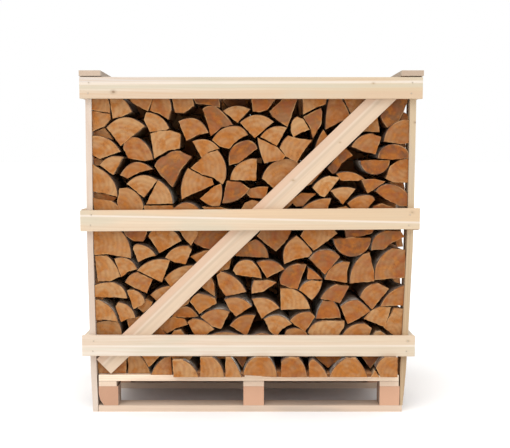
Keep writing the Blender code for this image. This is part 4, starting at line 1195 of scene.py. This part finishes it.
# Near the ends, in patches, the bark turns to the painted shade colour
shade_mask = calc(tree, "MULTIPLY_ADD", calc(tree, "SUBTRACT", painted_shade, 0.5), 1.6, given["Rim"])
tone = layered(tree, colour(0.60, 0.565, 0.51),
               (ease(tree, scale, 0.35, 0.65), colour(0.43, 0.385, 0.33)),
               (ease(tree, peel, 0.57, 0.64, 0.0, 0.70), colour(0.27, 0.150, 0.085)),
               (ease(tree, timber[2], 0.40, 0.60, 0.0, 0.80), colour(0.15, 0.092, 0.058)),
               (ease(tree, dash, 0.62, 0.68, 0.0, 0.85), colour(0.05, 0.035, 0.028)),
               (ease(tree, shade_mask, 0.10, 0.45, 0.0, 0.93), PAINTED_GAP_SHADE))
lift = calc(tree, "SUBTRACT", times(tree, scale, 0.6), ease(tree, peel, 0.57, 0.61))
fill(tree, end, {"Color": tone, "Height": lift, "Roughness": ease(tree, peel, 0.50, 0.64, 0.5, 0.8)})
BIRCH_BARK = tree
print("groups", SPLIT_BIRCH.name, BIRCH_BARK.name)

# %% Materials of the logs
def birch_material(name, kind, depth):
    made, tree, shader = new_material(name)
    inputs = {"Map": put(tree, "UVMap", uv_map="log").outputs[0],
              "Timber": put(tree, "Attribute", attribute_name="timber").outputs["Vector"]}
    if kind != SPLIT_BIRCH:
        inputs["Rim"] = put(tree, "Attribute", attribute_name="rim").outputs["Fac"]
    look = put(tree, "Group", inputs, node_tree=kind).outputs
    bump = put(tree, "Bump", {"Height": look["Height"], "Strength": 0.6, "Distance": depth}).outputs[0]
    rough = look["Roughness"] if "Roughness" in look else 0.75
    fill(tree, shader, {"Base Color": look["Color"], "Normal": bump, "Roughness": rough,
                        "Specular IOR Level": 0.25})
    return made


def speckled(name, size, first, second, values):
    # A material that changes between two colours in small patches
    made, tree, shader = new_material(name)
    patches = cloud(tree, put(tree, "TexCoord").outputs["Object"], size, 2.0)
    fill(tree, shader, {"Base Color": blend(tree, ease(tree, patches, 0.4, 0.7), first, second), **values})
    return made


log_materials = [birch_material("birch_end", BIRCH_END, 0.0005),
                 birch_material("birch_split", SPLIT_BIRCH, 0.0010),
                 birch_material("birch_bark_skin", BIRCH_BARK, 0.0008),
                 speckled("bark_edge", 0.004, colour(0.085, 0.036, 0.017), colour(0.21, 0.105, 0.052),
                          {"Roughness": 0.85})]
print([m.name for m in log_materials])

# %% [markdown]
# ## Stack the three rows
# The logs of the front row stand with their ends a little behind the rails, not quite level, and
# those behind the brace stand back from it. The back row has the same outlines with other wood. The
# middle row can't be seen, but it is what makes the gaps dark: there the same places are filled
# up to the next log, so that no light falls through all three rows.

# %% Outlines that fill a row
NEAR_ENOUGH = 0.30
CELL_ROOM = 0.0014
CELL_TOP = 1.165
CELL_DIP, DIP_SHARE = 0.0026, 0.12
SKIN_FACES = 0.45
CELL_STRAY = (-0.0004, 0.0010)
MIRROR_SHIFT, MIRROR_SHRINK = 0.004, 0.982


def mirrored(p):
    return Vector((2 * EYE.x - MIRROR_SHIFT - MIRROR_SHRINK * p.x, p.y))


def cell(site, sites):
    # The part of the row that is nearest to one site, counterclockwise
    low, high = room_between(site.y)
    ring = [Vector(p) for p in ((low, DECK_TOP), (high, DECK_TOP), (high, CELL_TOP), (low, CELL_TOP))]
    for other in sites:
        away = other - site
        if not 0.0 < away.length < NEAR_ENOUGH:
            continue
        limit = away.length / 2 - CELL_ROOM
        away.normalize()
        kept = []
        for a, b in pairs_round(ring):
            over_a, over_b = ((p - site).dot(away) - limit for p in (a, b))
            if over_a <= 0:
                kept.append(a)
            if over_a * over_b < 0:
                kept.append(a + (b - a) * (over_a / (over_a - over_b)))
        ring = kept
    return ring


def rough_outline(ring, step, draw):
    # The ring cut into steps, with bark on the edges that face one way
    skin = any_way(draw)
    points, kinds = [], []
    for a, b in pairs_round(ring):
        run = b - a
        count = max(1, round(run.length / step))
        skinned = outward(a, b).dot(skin) > SKIN_FACES
        dip = min(CELL_DIP, run.length * DIP_SHARE) if skinned else 0.0
        for k in range(count):
            t = k / count
            sunk = dip * (1 - 4 * t * (1 - t)) + (draw.uniform(*CELL_STRAY) if k else 0.0)
            points.append(a + run * t - outward(a, b) * sunk)
            kinds.append(1 if skinned else 0)
    return points, kinds


print("logs of the middle row stand", CELL_ROOM * 2000, "mm apart")

# %% Logs of the three rows
LEVEL_OUT = {"upper": -0.3720, "lower": -0.3720, "foot": -0.3770, "toes": TOES_Y, "hidden": -0.3690,
             "tucked": -0.3500, "deep": -0.2700, "shade_bits": -0.4110}
AT_EDGE = ("toes", "shade_bits")
CALM = AT_EDGE + ("foot",)
CALM_SHARE = 0.25
OUTER_SPREAD, INNER_SPREAD, BRACE_SPREAD, MIDDLE_SPREAD = 0.0035, 0.006, 0.0020, 0.0050
BEHIND_BRACE = -0.3578
BACK_BRACE_SHIFT = 0.0180
INNER_END, MIDDLE_ENDS = 0.1215, 0.1165
TOP_LAYER = 88.0
LETTERS = "ooaaollrrdtkgpy"


def behind_brace(points, place):
    if place == "back":
        points = [Vector((2 * EYE.x - BACK_BRACE_SHIFT - p.x, p.y)) for p in points]
    return touches_brace(points)


def outer_row(row, place, draw):
    for name, letter, corners in read_logs(tables):
        points, kinds = outline(corners, FINE_STEP, draw, TOES_Y if name in AT_EDGE else ENDS_Y)
        level = LEVEL_OUT["tucked" if name == "deep" and place == "back" else name]
        outer = level + draw.uniform(-1, 1) * OUTER_SPREAD * (CALM_SHARE if name in CALM else 1)
        if behind_brace(points, place) and name not in AT_EDGE + ("deep",):
            outer = BEHIND_BRACE + draw.uniform(0.0, BRACE_SPREAD)
        inner = -INNER_END - draw.uniform(0.0, INNER_SPREAD)
        near, far = (outer, inner) if place == "front" else (-inner, -outer)
        if place == "back":
            letter = draw.choice(LETTERS)
        add_log(row, points, kinds, near, far, letter, draw)


def middle_row(row, draw):
    shapes = [corners for _, _, corners in read_logs(("upper", "lower", "foot", "toes", "hidden"))]
    rings = [[mirrored(p) for p in outline(corners, COARSE_STEP, draw)[0]][::-1] for corners in shapes]
    sites = [mean(ring) for ring in rings]
    for corners, site in zip(shapes, sites):
        if min(y for _, y, _ in corners) < TOP_LAYER:
            points, kinds = outline(corners, COARSE_STEP, draw)
            points, kinds = backwards([mirrored(p) for p in points], kinds)
        else:
            points, kinds = rough_outline(cell(site, sites), COARSE_STEP, draw)
        near = -MIDDLE_ENDS + draw.uniform(0.0, MIDDLE_SPREAD)
        far = MIDDLE_ENDS - draw.uniform(0.0, MIDDLE_SPREAD)
        add_log(row, points, kinds, near, far, draw.choice(LETTERS), draw)


# %% Make each row's mesh
ROW_SEEDS = {"front": 11, "middle": 23, "back": 37}
SHARP = math.radians(38)


def store(mesh, name, kind, key, values):
    # Values kept with the mesh's points, for the shader
    kept = mesh.attributes.new(name, kind, "POINT")
    kept.data.foreach_set(key, np.array(values, np.float32).ravel())


def stack(place, seed):
    draw = random.Random(seed)
    row = Row()
    if place == "middle":
        middle_row(row, draw)
    else:
        outer_row(row, place, draw)
    mesh = bpy.data.meshes.new(f"birch_logs_{place}_row")
    mesh.from_pydata(row.points, [], row.faces)
    for made in log_materials:
        mesh.materials.append(made)
    mesh.polygons.foreach_set("material_index", row.kinds)
    mesh.uv_layers.new(name="log").data.foreach_set("uv", np.array(row.uvs, np.float32).ravel())
    store(mesh, "timber", "FLOAT_VECTOR", "vector", row.timber)
    store(mesh, "rim", "FLOAT", "value", row.rims)
    mesh.polygons.foreach_set("use_smooth", [True] * len(mesh.polygons))
    mesh.set_sharp_from_angle(angle=SHARP)
    mesh.update()
    made = show(f"birch_logs_{place}_row", mesh)
    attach(made, BODY)
    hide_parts(f"firewood_{place}_row")
    triangles = sum(len(p.vertices) - 2 for p in mesh.polygons)
    print(place, "row:", len(mesh.vertices), "points,", triangles, "triangles")


for place, seed in ROW_SEEDS.items():
    stack(place, seed)

# %% [markdown]
# ## Nails
# Every board is held by wire nails, two where boards cross, one above the other because the post
# behind is narrow. Their heads are small, flat and slightly proud. A nail that repeats is work for
# Geometry Nodes: one head is built and set on each point of a bare mesh, turned to face the way that
# the point says, with a little chance in its tilt.

# %% Geometry Nodes tree for nail heads
HEAD_SIDES = 12
TOP_SHARE = 0.78
TILT_SEED = 5


def nail_tree(metal):
    tree, given, end = group(
        "nail_heads",
        [("Points", "Geometry", None), ("Head Radius", "Float", 0.0026),
         ("Head Thickness", "Float", 0.0012), ("Tilt", "Float", 0.10)],
        [("Heads", "Geometry")], "Geometry")
    head = node(tree, "GeometryNodeMeshCone",
                {"Vertices": HEAD_SIDES, "Side Segments": 1, "Fill Segments": 1,
                 "Radius Top": times(tree, given["Head Radius"], TOP_SHARE),
                 "Radius Bottom": given["Head Radius"], "Depth": given["Head Thickness"]})
    facing = node(tree, "GeometryNodeInputNamedAttribute", {"Name": "facing"}, data_type="FLOAT_VECTOR")
    stray = node(tree, "FunctionNodeRandomValue",
                 {0: times(tree, given["Tilt"], -1.0), 1: given["Tilt"], "Seed": TILT_SEED},
                 data_type="FLOAT_VECTOR")
    leaning = vector_calc(tree, "ADD", facing.outputs[0], stray.outputs[0])
    turn = node(tree, "FunctionNodeAlignRotationToVector", {"Vector": leaning}, axis="Z")
    placed = node(tree, "GeometryNodeInstanceOnPoints", {
        "Points": given["Points"], "Instance": head.outputs["Mesh"], "Rotation": turn.outputs[0]})
    real = node(tree, "GeometryNodeRealizeInstances", {0: placed.outputs[0]})
    painted = node(tree, "GeometryNodeSetMaterial", {"Geometry": real.outputs[0], "Material": metal})
    fill(tree, end, {"Heads": painted.outputs[0]})
    return tree


zinc = speckled("nail_zinc", 0.002, colour(0.54, 0.47, 0.38), colour(0.40, 0.33, 0.25),
                {"Metallic": 0.5, "Roughness": 0.5})
NAILS = nail_tree(zinc)
print("tree", NAILS.name, len(NAILS.nodes), "nodes")

# %% [markdown]
# ## Where the nails go
# The places come from the boards themselves: the middle of each crossing, a step up and a step down
# along the narrow piece behind. Caps are nailed down into the posts, deck boards into the stringers, and
# base boards up into the blocks, out of sight from the front.

# %% Nail places
PROUD = 0.0003
SUNK = 0.0008
# How far the two nails of a crossing are from its middle, and how much of that they are also set aside
RAIL_PAIR, RAIL_ASIDE = (-0.019, 0.018), 0.1
SIDE_PAIR, SIDE_ASIDE = (-0.018, 0.019), 0.7
CAP_PAIR, CAP_ASIDE = (-0.016, 0.018), 0.2
DECK_PAIR, DECK_ASIDE = (-0.022, 0.024), 0.6
BASE_PAIR = (-0.016, 0.017)
LEFT_INWARD, CAP_INWARD = 0.004, 0.020
DECK_BOARDS = 6
LEVELS = ("top", "middle", "bottom")
DEPTHS = ("front", "middle", "back")
HANDS = ("left", "middle", "right")


def middle_of(name):
    low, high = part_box(name)
    return (low + high) / 2


def outer_face(name, way, axis):
    low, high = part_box(name)
    return (low if way < 0 else high)[axis]


def rail_nails():
    # Point and facing for each nail head in the front and back rails
    for side, way in (("front", -1), ("back", 1)):
        for level in LEVELS:
            rail = f"{level}_{side}_rail"
            for hand in ("left", "right"):
                x = middle_of(f"{side}_{hand}_post").x + (LEFT_INWARD if hand == "left" else 0.0)
                for up in RAIL_PAIR:
                    yield (x + up * RAIL_ASIDE, outer_face(rail, way, 1) + way * PROUD,
                           middle_of(rail).z + up), (0, way, 0)


def side_nails():
    # The same for the side rails and the caps
    for hand, way in (("left", -1), ("right", 1)):
        for level in LEVELS:
            rail = f"{level}_{hand}_side_rail"
            for depth in DEPTHS:
                y = middle_of(f"{depth}_{hand}_post").y
                for up in SIDE_PAIR:
                    yield (outer_face(rail, way, 0) + way * PROUD, y + up * SIDE_ASIDE,
                           middle_of(rail).z + up), (way, 0, 0)
        top = outer_face(f"{hand}_cap_board", 1, 2) + PROUD
        for depth in DEPTHS:
            post = middle_of(f"{depth}_{hand}_post")
            for over in CAP_PAIR:
                yield (post.x - way * CAP_INWARD + over * CAP_ASIDE, post.y + over, top), (0, 0, 1)


def pallet_nails():
    # The same for the deck boards and the base boards
    for n in range(DECK_BOARDS):
        board = f"deck_board_{n + 1}"
        top = outer_face(board, 1, 2) + PROUD / 2
        for hand in HANDS:
            x = middle_of(f"{hand}_stringer").x
            for over in DECK_PAIR:
                yield (x + over * DECK_ASIDE, middle_of(board).y + over, top), (0, 0, 1)
    for depth in DEPTHS:
        under = outer_face(f"{depth}_base_board", -1, 2) + SUNK
        for hand in HANDS:
            block = middle_of(f"{depth}_{hand}_block")
            for over in BASE_PAIR:
                yield (block.x + over, block.y + over, under), (0, 0, -1)


places = [*rail_nails(), *side_nails(), *pallet_nails()]
print(len(places), "nails")

# %% Set a head at each place
bare = bpy.data.meshes.new("nails")
bare.from_pydata([point for point, _ in places], [], [])
store(bare, "facing", "FLOAT_VECTOR", "vector", [facing for _, facing in places])
nails = show("nails", bare)
modifier = nails.modifiers.new("heads", "NODES")
modifier.node_group = NAILS
evaluated = nails.evaluated_get(bpy.context.evaluated_depsgraph_get())
heads = bpy.data.meshes.new_from_object(evaluated)
nails.modifiers.remove(modifier)
nails.data = heads
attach(nails, BODY)
print("nail heads:", len(heads.polygons), "faces")

# %% Finish
bpy.context.view_layer.update()
